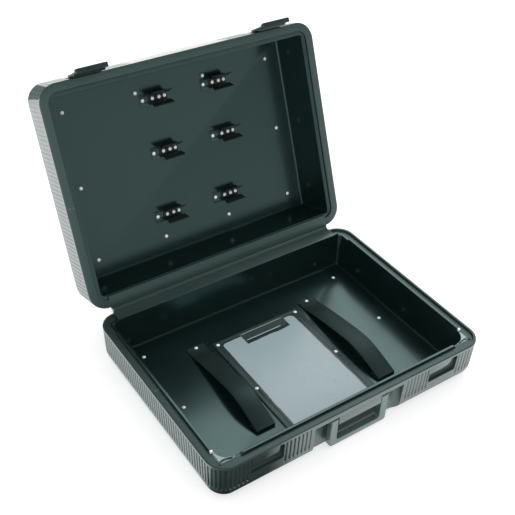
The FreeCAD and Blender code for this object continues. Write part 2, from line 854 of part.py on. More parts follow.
def handle():
    """The carrying handle, hanging in its bay: two legs and a bar with softened edges."""
    wide = "handle_width/2"
    narrow = "(handle_width/2 - handle_leg)"
    top = f"{HANDLE_Z} + handle_head"
    bar = "handle_lift + handle_bar"
    round_in = "handle_corner_radius/2"
    body = doc.addObject("PartDesign::Body", "carry_handle_loop")
    points = [
        (f"-{wide}", top),
        (f"-{wide}", "handle_lift + handle_corner_radius"),
        (f"-{wide} + handle_corner_radius", "handle_lift"),
        (f"{wide} - handle_corner_radius", "handle_lift"),
        (wide, "handle_lift + handle_corner_radius"),
        (wide, top),
        (narrow, top),
        (narrow, f"{bar} + {round_in}"),
        (f"{narrow} - {round_in}", bar),
        (f"-{narrow} + {round_in}", bar),
        (f"-{narrow}", f"{bar} + {round_in}"),
        (f"-{narrow}", top),
    ]
    rounded = {1: "handle_corner_radius", 3: "handle_corner_radius"}
    points = [
        point + (rounded[count],) if count in rounded else point
        for count, point in enumerate(points)
    ]
    sketch = outline(body, "carry_handle_outline", "XZ_Plane", points)
    bind(sketch, "AttachmentOffset.Base.z", "case_depth/2 - handle_thickness")
    pad = body.newObject("PartDesign::Pad", "carry_handle_pad")
    pad.Profile = sketch
    bind(pad, "Length", "handle_thickness")
    doc.recompute()
    softened = body.newObject("PartDesign::Fillet", "carry_handle_softened")
    softened.Base = (pad, face_edges(pad, number(FRONT), number(f"{FRONT} + handle_thickness")))
    bind(softened, "Radius", "handle_edge_radius")
    bore = rod_along_x(
        "carry_handle_bore",
        (f"-{wide} - cut_overrun", f"{wide} + cut_overrun"),
        HANDLE_Y,
        HANDLE_Z,
        "handle_pin_radius + pin_clearance",
    )
    return less("carry_handle", body, bore)


def face_edges(feature, *depths):
    """Names of the edges that lie wholly in one of the given planes across Y."""
    names = []
    for count, edge in enumerate(feature.Shape.Edges, start=1):
        box = edge.BoundBox
        if min(max(abs(box.YMin - y), abs(box.YMax - y)) for y in depths) < LINEAR_MARK:
            names.append(f"Edge{count}")
    return names


def handle_pins():
    """Two short pins from the boss into the handle's legs."""
    pins = []
    for side in (-1, 1):
        ends = sorted(
            (f"{side}*(boss_width/2 - handle_pin_anchor)", f"{side}*handle_width/2"), key=number
        )
        pins.append(
            rod_along_x(f"handle_pin_{side + 1}", ends, HANDLE_Y, HANDLE_Z, "handle_pin_radius")
        )
    return group("handle_pins", pins)


# What lies inside


def tool_clip(name, edge, row):
    """A spring clip on the lid's panel: a channel with flared arms, and a flange to its left."""
    half = "clip_half_gap"
    wide = "(clip_half_gap + clip_thickness)"
    waist = f"{LID_SEAT} - clip_waist_depth"
    tip = f"{LID_SEAT} - clip_height"
    arm = [
        (f"{wide}", LID_SEAT),
        (f"{wide} - clip_pinch", waist),
        (f"{wide} + clip_flare", tip),
        (f"{half} + clip_flare", tip),
        (f"{half} - clip_pinch", waist),
        (f"{half}", f"{LID_SEAT} - clip_thickness"),
    ]
    points = arm + [(f"-({y})", z) for y, z in arm[::-1]]
    channel = profile_bar(name + "_channel", points, "clip_length")
    place(channel, f"{edge} + clip_length/2", row, "0")
    flange = block(
        name + "_flange",
        (f"{edge} - clip_flange", edge),
        (f"{row} - {wide}", f"{row} + {wide}"),
        (f"{LID_SEAT} - clip_flange_thickness", LID_SEAT),
    )
    holes = rivet_holes(
        name + "_hole",
        [spot for spot in CLIP_PLACES if spot[0].startswith(edge + " ") and spot[1] == row],
        (f"{LID_SEAT} - clip_thickness - cut_overrun", f"{LID_SEAT} + cut_overrun"),
    )
    return less(name, joined(name + "_solid", [channel, flange]), joined(name + "_holes", holes))


def strap(name, side):
    """A springy band arched over the floor. Its back end is a riveted tab, and its front
    end folds down and back under the arch, where it is riveted out of sight."""
    low = BASE_SEAT
    thick = "strap_thickness"
    front = STRAP_FRONTS[side]
    back = STRAP_BACK
    rise = "(strap_crown - (strap_shoulder + strap_front_rise)/2)"
    step = "(strap_shoulder - strap_front_rise)"
    span = f"({back} - {front})"
    radius = f"((({span}^2 + {step}^2)/4 + {rise}^2)/(2*{rise}))"
    inner_span = f"({span} - 2*{thick})"
    inner_radius = f"((({inner_span}^2 + {step}^2)/4 + {rise}^2)/(2*{rise}))"
    points = [
        (front, low),
        (f"{front} + strap_fold", low),
        (f"{front} + strap_fold", f"{low} + {thick}"),
        (f"{front} + {thick}", f"{low} + {thick}"),
        (f"{front} + {thick}", f"{low} + strap_front_rise - {thick}/2"),
        (f"{back} - {thick}", f"{low} + strap_shoulder - {thick}"),
        (f"{back} + strap_riser - {thick}/2", low),
        (f"{back} + strap_riser + strap_tab", low),
        (f"{back} + strap_riser + strap_tab", f"{low} + {thick}"),
        (f"{back} + strap_riser", f"{low} + {thick}"),
        (back, f"{low} + strap_shoulder"),
        (front, f"{low} + strap_front_rise"),
    ]
    points[4] += (inner_radius, -1)
    points[10] += (radius,)
    band = profile_bar(name + "_band", points, "strap_width")
    bind(band, "Placement.Base.x", f"{side}*{STRAP_COLUMN}")
    holes = rivet_holes(
        name + "_hole",
        [spot for spot in STRAP_PLACES if spot[0].startswith(f"{side}*")],
        (low, f"{low} + {thick} + cut_overrun"),
    )
    return less(name, band, joined(name + "_holes", holes))


def pocket():
    """The document pocket: a backing sheet, a clear front with a thumb slot, and a hem."""
    half = "pocket_width/2"
    x = (f"-{half}", half)
    y = (POCKET_FRONT, POCKET_BACK)
    levels = [f"{BASE_SEAT} + {count}*pocket_sheet" for count in range(4)]
    cut_level = ("0", "base_height")

    def holed(name, solid, cuts):
        holes = rivet_holes(name + "_hole", POCKET_PLACES, cut_level)
        return less(name, solid, joined(name + "_cuts", cuts + holes))

    slot = prism(
        "pocket_slot",
        "XY_Plane",
        "slot_width",
        "slot_depth + slot_radius",
        "slot_radius",
        ("slot_offset", f"{POCKET_BACK} - pocket_back_hem - (slot_depth - slot_radius)/2", "0"),
        "base_height",
    )
    window = block(
        "pocket_window_space",
        (f"pocket_hem - {half}", f"{half} - pocket_hem"),
        (f"{POCKET_FRONT} + pocket_hem", f"{POCKET_BACK} - pocket_back_hem"),
        cut_level,
    )
    backing = block("pocket_backing_sheet", x, y, (levels[0], levels[1]))
    film = block("pocket_film_sheet", x, y, (levels[1], levels[2]))
    hem = block("pocket_hem_sheet", x, y, (levels[2], levels[3]))
    return [
        holed("pocket_backing", backing, []),
        holed("pocket_film", film, [slot]),
        holed("pocket_hem", hem, [window]),
    ]


# Assembly

BASE_PIECES = [
    base_shell(),
    liner(
        "base_liner", BASE_RIM, 1, "base_floor", "base_rim_width", "base_opening_inset",
        BASE_LINER_PLACES + STRAP_PLACES + POCKET_PLACES,
    ),
    hinge_leaf("hinge_leaf_base", -1, 0),
    hinge_pin(),
    handle_pins(),
    strap("strap_left", -1),
    strap("strap_right", 1),
    *pocket(),
    rivets("base_liner_rivets", BASE_LINER_PLACES, BASE_SEAT, "rivet_end_recess"),
    rivets("strap_rivets", STRAP_PLACES, f"({BASE_SEAT} + strap_thickness)", "rivet_end_recess"),
    rivets("pocket_rivets", POCKET_PLACES, f"({BASE_SEAT} + 3*pocket_sheet)", "rivet_end_recess"),
    handle(),
]

LID_PIECES = [
    lid_shell(),
    liner(
        "lid_liner", LID_RIM, -1, f"({LID_TOP} - lid_floor)", "lid_rim_width",
        "lid_opening_inset", LID_LINER_PLACES + CLIP_PLACES,
    ),
    hinge_leaf("hinge_leaf_lid", 1, 1),
    latch_pin("latch_pin_left", -1),
    latch_pin("latch_pin_right", 1),
    rivets("lid_liner_rivets", LID_LINER_PLACES, LID_SEAT, f"({LID_TOP} - rivet_end_recess)"),
    group(
        "tool_clip_rivets",
        [
            rivets(
                "flange_rivets", CLIP_FLANGE_PLACES, f"({LID_SEAT} - clip_flange_thickness)",
                f"({LID_TOP} - rivet_end_recess)",
            ),
            rivets(
                "channel_rivets", CLIP_CHANNEL_PLACES, f"({LID_SEAT} - clip_thickness)",
                f"({LID_TOP} - rivet_end_recess)",
            ),
        ],
    ),
]
LID_PIECES += [tool_clip(name, edge, row) for name, (edge, row) in CLIPS.items()]

LATCHES = [latch("latch_left", -1), latch("latch_right", 1)]

doc.recompute()


def turned(angle, y, z):
    """A turn about an axis along X through y and z. Positive opens the case."""
    return FreeCAD.Placement(
        FreeCAD.Vector(),
        FreeCAD.Rotation(FreeCAD.Vector(1, 0, 0), -number(angle)),
        FreeCAD.Vector(0, number(y), number(z)),
    )


opened = turned("lid_open_angle", HINGE_Y, HINGE_Z)
lifted = turned("latch_lift_angle", LATCH_Y, LATCH_Z)
for piece in LID_PIECES:
    piece.Placement = opened.multiply(piece.Placement)
for piece in LATCHES:
    piece.Placement = opened.multiply(lifted)
doc.recompute()

# Checks and export

PIECES = BASE_PIECES + LID_PIECES + LATCHES
for thing in doc.Objects:
    if "Invalid" in thing.State or "Error" in thing.State:
        raise RuntimeError(f"{thing.Name} did not compute: {thing.State}")
for piece in PIECES:
    shape = piece.Shape
    if shape.isNull() or not shape.isValid() or not shape.Solids:
        raise RuntimeError(f"{piece.Name} has no valid solid")

os.makedirs("parts", exist_ok=True)
for piece in PIECES:
    piece.Label = piece.Name
    piece.Shape.exportStep(f"parts/{piece.Label}.step")
    print(f"{piece.Label}: {len(piece.Shape.Solids)} solids, {piece.Shape.Volume / 1000:.1f} cm3")
print(f"{len(PIECES)} pieces")
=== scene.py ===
import math
import bmesh
import bpy
from mathutils import Euler, Matrix, Vector


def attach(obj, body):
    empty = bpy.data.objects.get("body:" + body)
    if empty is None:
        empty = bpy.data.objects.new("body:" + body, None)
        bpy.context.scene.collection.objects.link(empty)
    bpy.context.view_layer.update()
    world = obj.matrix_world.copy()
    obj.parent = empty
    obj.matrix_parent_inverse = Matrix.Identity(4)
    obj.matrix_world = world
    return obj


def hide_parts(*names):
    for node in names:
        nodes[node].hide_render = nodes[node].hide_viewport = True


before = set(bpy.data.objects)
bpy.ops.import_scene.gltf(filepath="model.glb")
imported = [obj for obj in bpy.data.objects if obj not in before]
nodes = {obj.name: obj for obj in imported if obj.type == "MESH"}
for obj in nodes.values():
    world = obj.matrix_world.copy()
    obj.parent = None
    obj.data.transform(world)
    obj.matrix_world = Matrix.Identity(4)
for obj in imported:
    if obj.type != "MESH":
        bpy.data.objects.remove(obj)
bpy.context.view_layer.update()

mm = 0.001

caseForm = {  # the whole case, in millimetres and degrees, as in the part's source
    "width": 450.0, "depth": 330.0, "baseRim": 65.0, "lidRim": 65.4, "lidTop": 136.9,
    "cornerRadius": 28.0, "leastRadius": 0.6, "edgeRadius": 21.0, "rimRadius": 1.4, "wallDraft": 2.6,
    "hingeY": 170.0, "hingeZ": 65.2, "lidAngle": 111.0,
    "baseSeat": 4.6, "lidSeat": 133.3,  # the inner faces of the two liners, the lid drawn shut
    "latchMiddle": 149.0, "stopMiddle": 170.0,
    "overlap": 0.5,  # how far a joined detail sinks into what carries it
}
angleForm = {"shade": 32.0, "solid": 35.0, "clip": 30.0, "flat": 1.0}  # degrees past which an edge counts
gapForm = {"level": 0.1, "weld": 0.001, "solid": 0.002}  # less than this is no distance


# Mesh helpers

def tip(bm, centre, angle):  # turns a mesh about a line that runs across the case
    turn = Matrix.Rotation(math.radians(angle), 3, "X")
    bmesh.ops.rotate(bm, cent=Vector((0, *centre)) * mm, matrix=turn, verts=bm.verts)


def openLid(bm):  # turns what is drawn shut to where the open lid carries it
    tip(bm, (caseForm["hingeY"], caseForm["hingeZ"]), -caseForm["lidAngle"])


def markEdges(bm):
    limit = math.radians(angleForm["shade"])
    for face in bm.faces:
        face.smooth = True
    for edge in bm.edges:
        edge.smooth = len(edge.link_faces) == 2 and edge.calc_face_angle(0.0) < limit


def sharpEdges(bm, angle):
    limit = math.radians(angle)
    return [e for e in bm.edges if len(e.link_faces) == 2 and e.calc_face_angle(0.0) > limit]


def roundEdges(bm, edges, size, segments=2):
    bmesh.ops.bevel(bm, geom=edges, offset=size * mm, offset_type="OFFSET", segments=segments,
                    profile=0.5, affect="EDGES", clamp_overlap=True, material=-1)


def newVerts(grown):
    return [g for g in grown["geom"] if isinstance(g, bmesh.types.BMVert)]


def edgesAmong(grown, ring):
    return [g for g in grown["geom"] if isinstance(g, bmesh.types.BMEdge)
            and g.verts[0] in ring and g.verts[1] in ring]


def meshOf(bm, name):
    mesh = bpy.data.meshes.new(name)
    bm.to_mesh(mesh)
    bm.free()
    return mesh


def addObject(name, data):
    made = bpy.data.objects.new(name, data)
    bpy.context.scene.collection.objects.link(made)
    return made


def addPiece(bm, name, body, material, replaced=()):
    bmesh.ops.recalc_face_normals(bm, faces=bm.faces)
    markEdges(bm)
    piece = addObject(name, meshOf(bm, name))
    piece.data.materials.append(material)
    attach(piece, body)
    if replaced:
        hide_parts(*replaced)
    return piece


def softenedNode(node, edge, segments=2):  # a merged copy of a solid with its edges rounded
    bm = bmesh.new()
    bm.from_mesh(nodes[node].data)
    bmesh.ops.remove_doubles(bm, verts=bm.verts, dist=gapForm["solid"] * mm)
    bmesh.ops.dissolve_limit(bm, angle_limit=math.radians(angleForm["flat"]), verts=bm.verts, edges=bm.edges)
    roundEdges(bm, sharpEdges(bm, angleForm["solid"]), edge, segments)
    return bm


def addBlock(bm, low, high, edge=0.0, segments=2):  # a box between two corners in millimetres
    made = bmesh.ops.create_cube(bm, size=1.0)["verts"]
    low, high = Vector(low) * mm, Vector(high) * mm
    bmesh.ops.scale(bm, vec=high - low, verts=made)
    bmesh.ops.translate(bm, vec=(low + high) / 2, verts=made)
    if edge:
        roundEdges(bm, list({e for v in made for e in v.link_edges}), edge, segments)


def addBar(bm, outline, low, high, axis="x"):  # an outline in millimetres, drawn out along an axis
    spots = []
    for u, v in outline:
        where = {"z": (u, v, low), "x": (low, u, v)}[axis]
        spots.append(bm.verts.new(Vector(where) * mm))
    face = bm.faces.new(spots)
    moved = newVerts(bmesh.ops.extrude_face_region(bm, geom=[face]))
    step = {"z": Vector((0, 0, high - low)), "x": Vector((high - low, 0, 0))}[axis]
    bmesh.ops.translate(bm, vec=step * mm, verts=moved)
    return spots + moved


def arcPoints(cx, cy, radius, start, end, steps):
    return [(cx + radius * math.cos(math.radians(start + (end - start) * k / steps)),
             cy + radius * math.sin(math.radians(start + (end - start) * k / steps)))
            for k in range(steps + 1)]


def tubeAlong(bm, points, radius, sides=8):  # a round bead with closed ends, through points in millimetres
    ring = bmesh.ops.create_circle(bm, segments=sides, radius=radius * mm)["verts"]
    edges = [e for e in bm.edges if e.verts[0] in ring and e.verts[1] in ring]
    bmesh.ops.contextual_create(bm, geom=edges)
    spots = [Vector(p) * mm for p in points]
    heading = (spots[1] - spots[0]).normalized()
    turn = Vector((0, 0, 1)).rotation_difference(heading).to_matrix()
    bmesh.ops.transform(bm, matrix=Matrix.Translation(spots[0]) @ turn.to_4x4(), verts=ring)
    for here, there in zip(spots, spots[1:]):
        onward = (there - here).normalized()
        grown = bmesh.ops.extrude_edge_only(bm, edges=edges)
        ring = newVerts(grown)
        edges = edgesAmong(grown, ring)
        bmesh.ops.rotate(bm, cent=here, matrix=heading.rotation_difference(onward).to_matrix(), verts=ring)
        bmesh.ops.translate(bm, vec=there - here, verts=ring)
        heading = onward
    bmesh.ops.contextual_create(bm, geom=edges)


def takeIn(bm, part):  # adds one mesh in the making to another
    held = meshOf(part, "held")
    bm.from_mesh(held)
    bpy.data.meshes.remove(held)


def carve(piece, cutterForm):  # takes closed shapes out of a piece
    bmesh.ops.recalc_face_normals(cutterForm, faces=cutterForm.faces)
    cutter = addObject("cutter", meshOf(cutterForm, "cutter"))
    step = piece.modifiers.new("carve", "BOOLEAN")
    step.operation = "DIFFERENCE"
    step.solver = "EXACT"
    step.object = cutter
    graph = bpy.context.evaluated_depsgraph_get()
    carved = bpy.data.meshes.new_from_object(piece.evaluated_get(graph))
    piece.modifiers.clear()
    old = piece.data
    piece.data = carved
    bpy.data.meshes.remove(old)
    bpy.data.objects.remove(cutter)


def joinInto(piece, detail, finishShape=None):  # adds loose detail to a finished piece
    bmesh.ops.recalc_face_normals(detail, faces=detail.faces)
    whole = bmesh.new()
    whole.from_mesh(piece.data)
    takeIn(whole, detail)
    markEdges(whole)
    if finishShape:
        finishShape(whole)
    whole.to_mesh(piece.data)
    whole.free()


# Finishes

surfaceForm = {"grainDetail": 3.0, "patchDetail": 5.0, "patchRough": 0.62,
               "dustScale": 95.0, "dustSize": 0.06, "dustColour": (0.30, 0.34, 0.33),
               "wearAndHighlightFrom": 0.52, "wearAndHighlightTo": 0.62, "glossFrom": 0.3, "glossTo": 0.7}


def addNode(tree, kind, inputs=(), **settings):  # its settings come first, because they decide its inputs
    node = tree.new("ShaderNode" + kind)
    for name, value in settings.items():
        setattr(node, name, value)
    for name, value in dict(inputs).items():
        node.inputs[name].default_value = value
    return node


def wire(net, *joins):  # each join is a node and its output, then a node and its input
    for start, leaving, end, entering in joins:
        net.links.new(start.outputs[leaving], end.inputs[entering])


def addSurfaceGroup():  # fine grain, cloudy patches, specks of dust, and worn edges that also carry a painted highlight
    form = surfaceForm
    net = bpy.data.node_groups.new("surfaceVariation", "ShaderNodeTree")
    for way, names in (("INPUT", ("Grain Scale", "Patch Scale", "Dust Amount", "Wear And Highlight Amount")),
                       ("OUTPUT", ("Grain", "Patches", "Dust", "Wear And Highlight"))):
        for name in names:
            net.interface.new_socket(name, in_out=way, socket_type="NodeSocketFloat")
    tree = net.nodes
    source, sink = tree.new("NodeGroupInput"), tree.new("NodeGroupOutput")
    where = addNode(tree, "TexCoord")
    grain = addNode(tree, "TexNoise", {"Detail": form["grainDetail"]})
    patches = addNode(tree, "TexNoise", {"Detail": form["patchDetail"], "Roughness": form["patchRough"]})
    specks = addNode(tree, "TexVoronoi", {"Scale": form["dustScale"]})
    near = addNode(tree, "MapRange", {"From Max": form["dustSize"], "To Min": 1.0, "To Max": 0.0})
    thin = addNode(tree, "Math", operation="MULTIPLY")
    shape = addNode(tree, "NewGeometry")
    # rounded edges take the worn colour: partly real wear, partly a painted highlight along the edges
    ridge = addNode(tree, "MapRange", {"From Min": form["wearAndHighlightFrom"], "From Max": form["wearAndHighlightTo"]})
    broken = addNode(tree, "Math", operation="MULTIPLY")
    wornAndHighlit = addNode(tree, "Math", operation="MULTIPLY")
    wire(net, *[(where, "Object", texture, "Vector") for texture in (grain, patches, specks)])
    wire(net, (source, "Grain Scale", grain, "Scale"), (source, "Patch Scale", patches, "Scale"),
         (specks, "Distance", near, "Value"), (near, "Result", thin, 0), (source, "Dust Amount", thin, 1),
         (shape, "Pointiness", ridge, "Value"), (ridge, "Result", broken, 0), (patches, "Fac", broken, 1),
         (broken, "Value", wornAndHighlit, 0), (source, "Wear And Highlight Amount", wornAndHighlit, 1), (grain, "Fac", sink, "Grain"),
         (patches, "Fac", sink, "Patches"), (thin, "Value", sink, "Dust"), (wornAndHighlit, "Value", sink, "Wear And Highlight"))
    return net


surfaceGroup = addSurfaceGroup()


def makeFinish(name, dark, light, rough, grainScale=900.0, grainDepth=0.03, patchScale=14.0, dust=0.12,
               wearAndHighlight=0.35, wornAndHighlit=(0.10, 0.13, 0.125), metallic=0.0, coat=0.0, coatRough=0.1,
               specular=0.5, tint=(0.7, 1.0, 0.97), ior=1.5, coatIor=1.5, rimBand=None):
    material = bpy.data.materials.new(name)
    material.use_nodes = True
    net = material.node_tree
    tree = net.nodes
    shader = tree["Principled BSDF"]
    for socket, value in (("Metallic", metallic), ("Specular IOR Level", specular), ("IOR", ior),
                          ("Specular Tint", (*tint, 1.0)), ("Coat Weight", coat),
                          ("Coat Roughness", coatRough), ("Coat IOR", coatIor)):
        shader.inputs[socket].default_value = value
    surface = addNode(tree, "Group", {"Grain Scale": grainScale, "Patch Scale": patchScale,
                                      "Dust Amount": dust, "Wear And Highlight Amount": wearAndHighlight}, node_tree=surfaceGroup)
    tone = addNode(tree, "Mix", {"A": (*dark, 1.0), "B": (*light, 1.0)}, data_type="RGBA")
    # painted highlight: the worn colour lightens convex edges, partly real wear and partly painted light
    rubbedAndHighlit = addNode(tree, "Mix", {"B": (*wornAndHighlit, 1.0)}, data_type="RGBA")
    dusty = addNode(tree, "Mix", {"B": (*surfaceForm["dustColour"], 1.0)}, data_type="RGBA")
    gloss = addNode(tree, "MapRange", {"From Min": surfaceForm["glossFrom"], "To Min": rough[0],
                                       "From Max": surfaceForm["glossTo"], "To Max": rough[1]})
    bump = addNode(tree, "Bump", {"Strength": 1.0, "Distance": grainDepth * mm})
    wire(net, (surface, "Patches", tone, "Factor"), (tone, "Result", rubbedAndHighlit, "A"),
         (surface, "Wear And Highlight", rubbedAndHighlit, "Factor"), (rubbedAndHighlit, "Result", dusty, "A"),
         (surface, "Dust", dusty, "Factor"), (dusty, "Result", shader, "Base Color"),
         (surface, "Patches", gloss, "Value"), (surface, "Grain", bump, "Height"),
         (bump, "Normal", shader, "Normal"))
    if not rimBand:
        wire(net, (gloss, "Result", shader, "Roughness"))
        return material
    rim = addNode(tree, "Attribute", attribute_name="rimBand")
    dull = addNode(tree, "Mix", {"B": rimBand["rough"]})
    skin = addNode(tree, "Mix", {"A": coat, "B": rimBand["coat"]})
    # painted shade: the rim band's colour is painted darker than the walls of the same plastic; its rougher,
    # uncoated gloss is real
    paintedRimShade = addNode(tree, "Mix", {"B": (*rimBand["tone"], 1.0)}, data_type="RGBA")
    wire(net, (rim, "Fac", paintedRimShade, "Factor"), (tone, "Result", paintedRimShade, "A"),
         (paintedRimShade, "Result", rubbedAndHighlit, "A"), (rim, "Fac", dull, "Factor"), (gloss, "Result", dull, "A"),
         (dull, "Result", shader, "Roughness"), (rim, "Fac", skin, "Factor"),
         (skin, "Result", shader, "Coat Weight"))
    return material


shellFinish = makeFinish("shellPlastic", (0.027, 0.043, 0.040), (0.049, 0.074, 0.069), (0.20, 0.30),
                         grainScale=1100.0, grainDepth=0.012, coat=0.9, coatRough=0.12, coatIor=1.7,
                         specular=1.0, ior=1.65, tint=(0.68, 1.0, 0.96),
                         # the rim's tone is painted shade, darker than the walls of the same plastic
                         rimBand={"rough": 0.52, "coat": 0.0, "tone": (0.006, 0.015, 0.013)})
linerFinish = makeFinish("linerPlastic", (0.002, 0.007, 0.006), (0.005, 0.013, 0.012), (0.18, 0.26),
                         grainScale=240.0, grainDepth=0.006, patchScale=9.0, dust=0.14, wearAndHighlight=0.2,
                         coat=0.12, coatRough=0.12, specular=0.8, tint=(0.56, 0.98, 0.96))
handleFinish = makeFinish("handlePlastic", (0.055, 0.092, 0.085), (0.080, 0.125, 0.117), (0.22, 0.32),
                          grainScale=1400.0, grainDepth=0.012, coat=1.0, coatRough=0.14, coatIor=1.7,
                          specular=1.0, ior=1.65)
latchFinish = makeFinish("latchPlastic", (0.010, 0.019, 0.017), (0.018, 0.030, 0.027), (0.30, 0.42),
                         grainScale=1400.0, grainDepth=0.015, coat=0.3, coatRough=0.2)
clipFinish = makeFinish("clipPlastic", (0.003, 0.006, 0.005), (0.008, 0.012, 0.011), (0.30, 0.42),
                        grainScale=1500.0, grainDepth=0.015, wearAndHighlight=0.25, specular=0.35)
strapFinish = makeFinish("strapPlastic", (0.006, 0.013, 0.012), (0.013, 0.023, 0.022), (0.42, 0.54),
                         grainScale=1700.0, grainDepth=0.04, wearAndHighlight=0.2, specular=0.4, tint=(0.6, 1.0, 0.98))
pocketFinish = makeFinish("pocketSheet", (0.012, 0.024, 0.022), (0.022, 0.038, 0.035), (0.34, 0.44),
                          grainScale=2200.0, grainDepth=0.03)
hingeFinish = makeFinish("hingePaint", (0.012, 0.026, 0.023), (0.020, 0.038, 0.034), (0.28, 0.33),
                         grainScale=1200.0, grainDepth=0.006, patchScale=5.0, specular=0.8)
pinFinish = makeFinish("pinSteel", (0.50, 0.51, 0.52), (0.66, 0.67, 0.68), (0.24, 0.36), tint=(1, 1, 1),
                       grainScale=2500.0, grainDepth=0.01, metallic=1.0, dust=0.05, wornAndHighlit=(0.75, 0.75, 0.75))
# painted highlight: rivet heads and rim pegs are painted near white, their pale metal lifted to stand for
# their highlights
paleAndHighlightFinish = makeFinish("rivetMetalPaintedHighlight", (0.93, 0.95, 0.94), (0.97, 0.98, 0.98), (0.30, 0.42), tint=(1, 1, 1),
                         grainScale=2500.0, grainDepth=0.01, metallic=0.05, dust=0.0, wornAndHighlit=(0.97, 0.97, 0.97))
filmFinish = makeFinish("clearFilm", (0.29, 0.38, 0.405), (0.34, 0.43, 0.46), (0.20, 0.30), tint=(1, 1, 1),
                        grainScale=600.0, grainDepth=0.01, patchScale=7.0, dust=0.0, wearAndHighlight=0.0, specular=0.35)
# painted highlight: a pale finish for the beads along the thumb slot's edges
slotHighlightFinish = makeFinish("paintedSlotHighlight", (0.55, 0.62, 0.65), (0.66, 0.72, 0.75), (0.15, 0.25), tint=(1, 1, 1),
                            grainDepth=0.005, dust=0.0, wearAndHighlight=0.0)

filmPaintedShade = {  # where the film keeps its pale colour and where painted shade darkens it, in millimetres on the case
    "middle": (-0.7, -23.0), "half": (66.2, 102.2), "corner": 9.0, "soft": 1.2,
    "wave": 2.6, "waveScale": 55.0,
    "lipMiddle": 8.0, "lipHalf": 39.0, "lipFront": 60.0, "lipSoft": 1.0, "lipWave": 1.6,
    "paintedShadeColour": (0.016, 0.030, 0.031, 1.0),
}


def addFilmPaintedShade(material):  # painted shade: the film keeps its pale colour where it lies flat and is painted dark where it bends to its welds and on its curled lip beyond the thumb slot
    form = filmPaintedShade
    net = material.node_tree
    tree = net.nodes
    where = addNode(tree, "TexCoord")
    wave = addNode(tree, "TexNoise", {"Scale": form["waveScale"], "Detail": 1.0})
    parts = addNode(tree, "SeparateXYZ")
    wire(net, (where, "Object", parts, "Vector"), (where, "Object", wave, "Vector"))

    def step(operation, *values):
        node = addNode(tree, "Math", operation=operation)
        for place, value in enumerate(values):
            if isinstance(value, float):
                node.inputs[place].default_value = value
            else:
                net.links.new(value, node.inputs[place])
        return node.outputs["Value"]

    def ramp(value, low, high):
        node = addNode(tree, "MapRange", {"From Min": low * mm, "From Max": high * mm})
        net.links.new(value, node.inputs["Value"])
        return node.outputs["Result"]

    squares = []
    for axis, middle, half in zip("XY", form["middle"], form["half"]):
        away = step("ABSOLUTE", step("SUBTRACT", parts.outputs[axis], middle * mm))
        beyond = step("MAXIMUM", step("SUBTRACT", away, (half - form["corner"]) * mm), 0.0)
        squares.append(step("MULTIPLY", beyond, beyond))
    reach = step("SQRT", step("ADD", *squares))
    drift = step("MULTIPLY", wave.outputs["Fac"], form["wave"] * mm)
    edge = ramp(step("ADD", reach, drift), form["corner"] - form["soft"], form["corner"])
    side = step("ABSOLUTE", step("SUBTRACT", parts.outputs["X"], form["lipMiddle"] * mm))
    inside = ramp(side, form["lipHalf"] + form["lipSoft"], form["lipHalf"] - form["lipSoft"])
    lipShade = ramp(step("ADD", parts.outputs["Y"], step("MULTIPLY", drift, form["lipWave"])),
                form["lipFront"], form["lipFront"] + form["lipSoft"])
    # painted shade: the dark colour mixed in at the film's borders and on its lip
    deep = addNode(tree, "Mix", {"B": form["paintedShadeColour"]}, data_type="RGBA")
    shader = tree["Principled BSDF"]
    net.links.new(step("MAXIMUM", edge, step("MULTIPLY", inside, lipShade)), deep.inputs["Factor"])
    net.links.new(shader.inputs["Base Color"].links[0].from_socket, deep.inputs["A"])
    wire(net, (deep, "Result", shader, "Base Color"))


addFilmPaintedShade(filmFinish)
print("finishes made")


# Case walls

fluteForm = {  # upright grooves round the walls, with a share of their depth at each step across one
    "counts": {"front": 62, "frontRight": 7, "right": 42, "backRight": 7,
               "back": 62, "backLeft": 7, "left": 42, "frontLeft": 7},
    "profile": (1.0, 0.90, 0.14, 0.02, 0.0, 0.02, 0.14, 0.90), "depth": 1.5, "lidShare": 0.8, "lidFade": 0.25,
    "bareMiddle": 80.0, "bareRecess": 27.0, "bareStop": 14.0,
    "start": ((20.2, 0.0), (21.0, 0.35), (22.0, 0.85), (23.0, 1.0)), "even": 33.0,  # above the closed end
    "stop": ((16.0, 1.0), (6.2, 1.0), (5.6, 0.8), (5.1, 0.3), (4.8, 0.0)),  # below the rim
}
perFlute = len(fluteForm["profile"])


def ringSpot(section, along, inset, radius=None):  # a point and its outward direction on the plan outline
    halfX, halfY = caseForm["width"] / 2 - inset, caseForm["depth"] / 2 - inset
    if radius is None:
        radius = max(caseForm["cornerRadius"] - inset, caseForm["leastRadius"])
    runX, runY = halfX - radius, halfY - radius
    sides = {"front": ((-runX + 2 * runX * along, -halfY), (0, -1)),
             "right": ((halfX, -runY + 2 * runY * along), (1, 0)),
             "back": ((runX - 2 * runX * along, halfY), (0, 1)),
             "left": ((-halfX, runY - 2 * runY * along), (-1, 0))}
    if section in sides:
        spot, way = sides[section]
        return Vector(spot), Vector(way)
    start, sx, sy = {"frontRight": (-90, 1, -1), "backRight": (0, 1, 1),
                     "backLeft": (90, -1, 1), "frontLeft": (180, -1, -1)}[section]
    angle = math.radians(start + 90 * along)
    way = Vector((math.cos(angle), math.sin(angle)))
    return Vector((sx * runX, sy * runY)) + way * radius, way


def fluteMask(section, along):
    x = abs(ringSpot(section, along, 0.0)[0].x)
    if section == "front" and (x < fluteForm["bareMiddle"]
                               or abs(x - caseForm["latchMiddle"]) < fluteForm["bareRecess"]):
        return 0.0
    if section == "back" and abs(x - caseForm["stopMiddle"]) < fluteForm["bareStop"]:
        return 0.0
    return 1.0


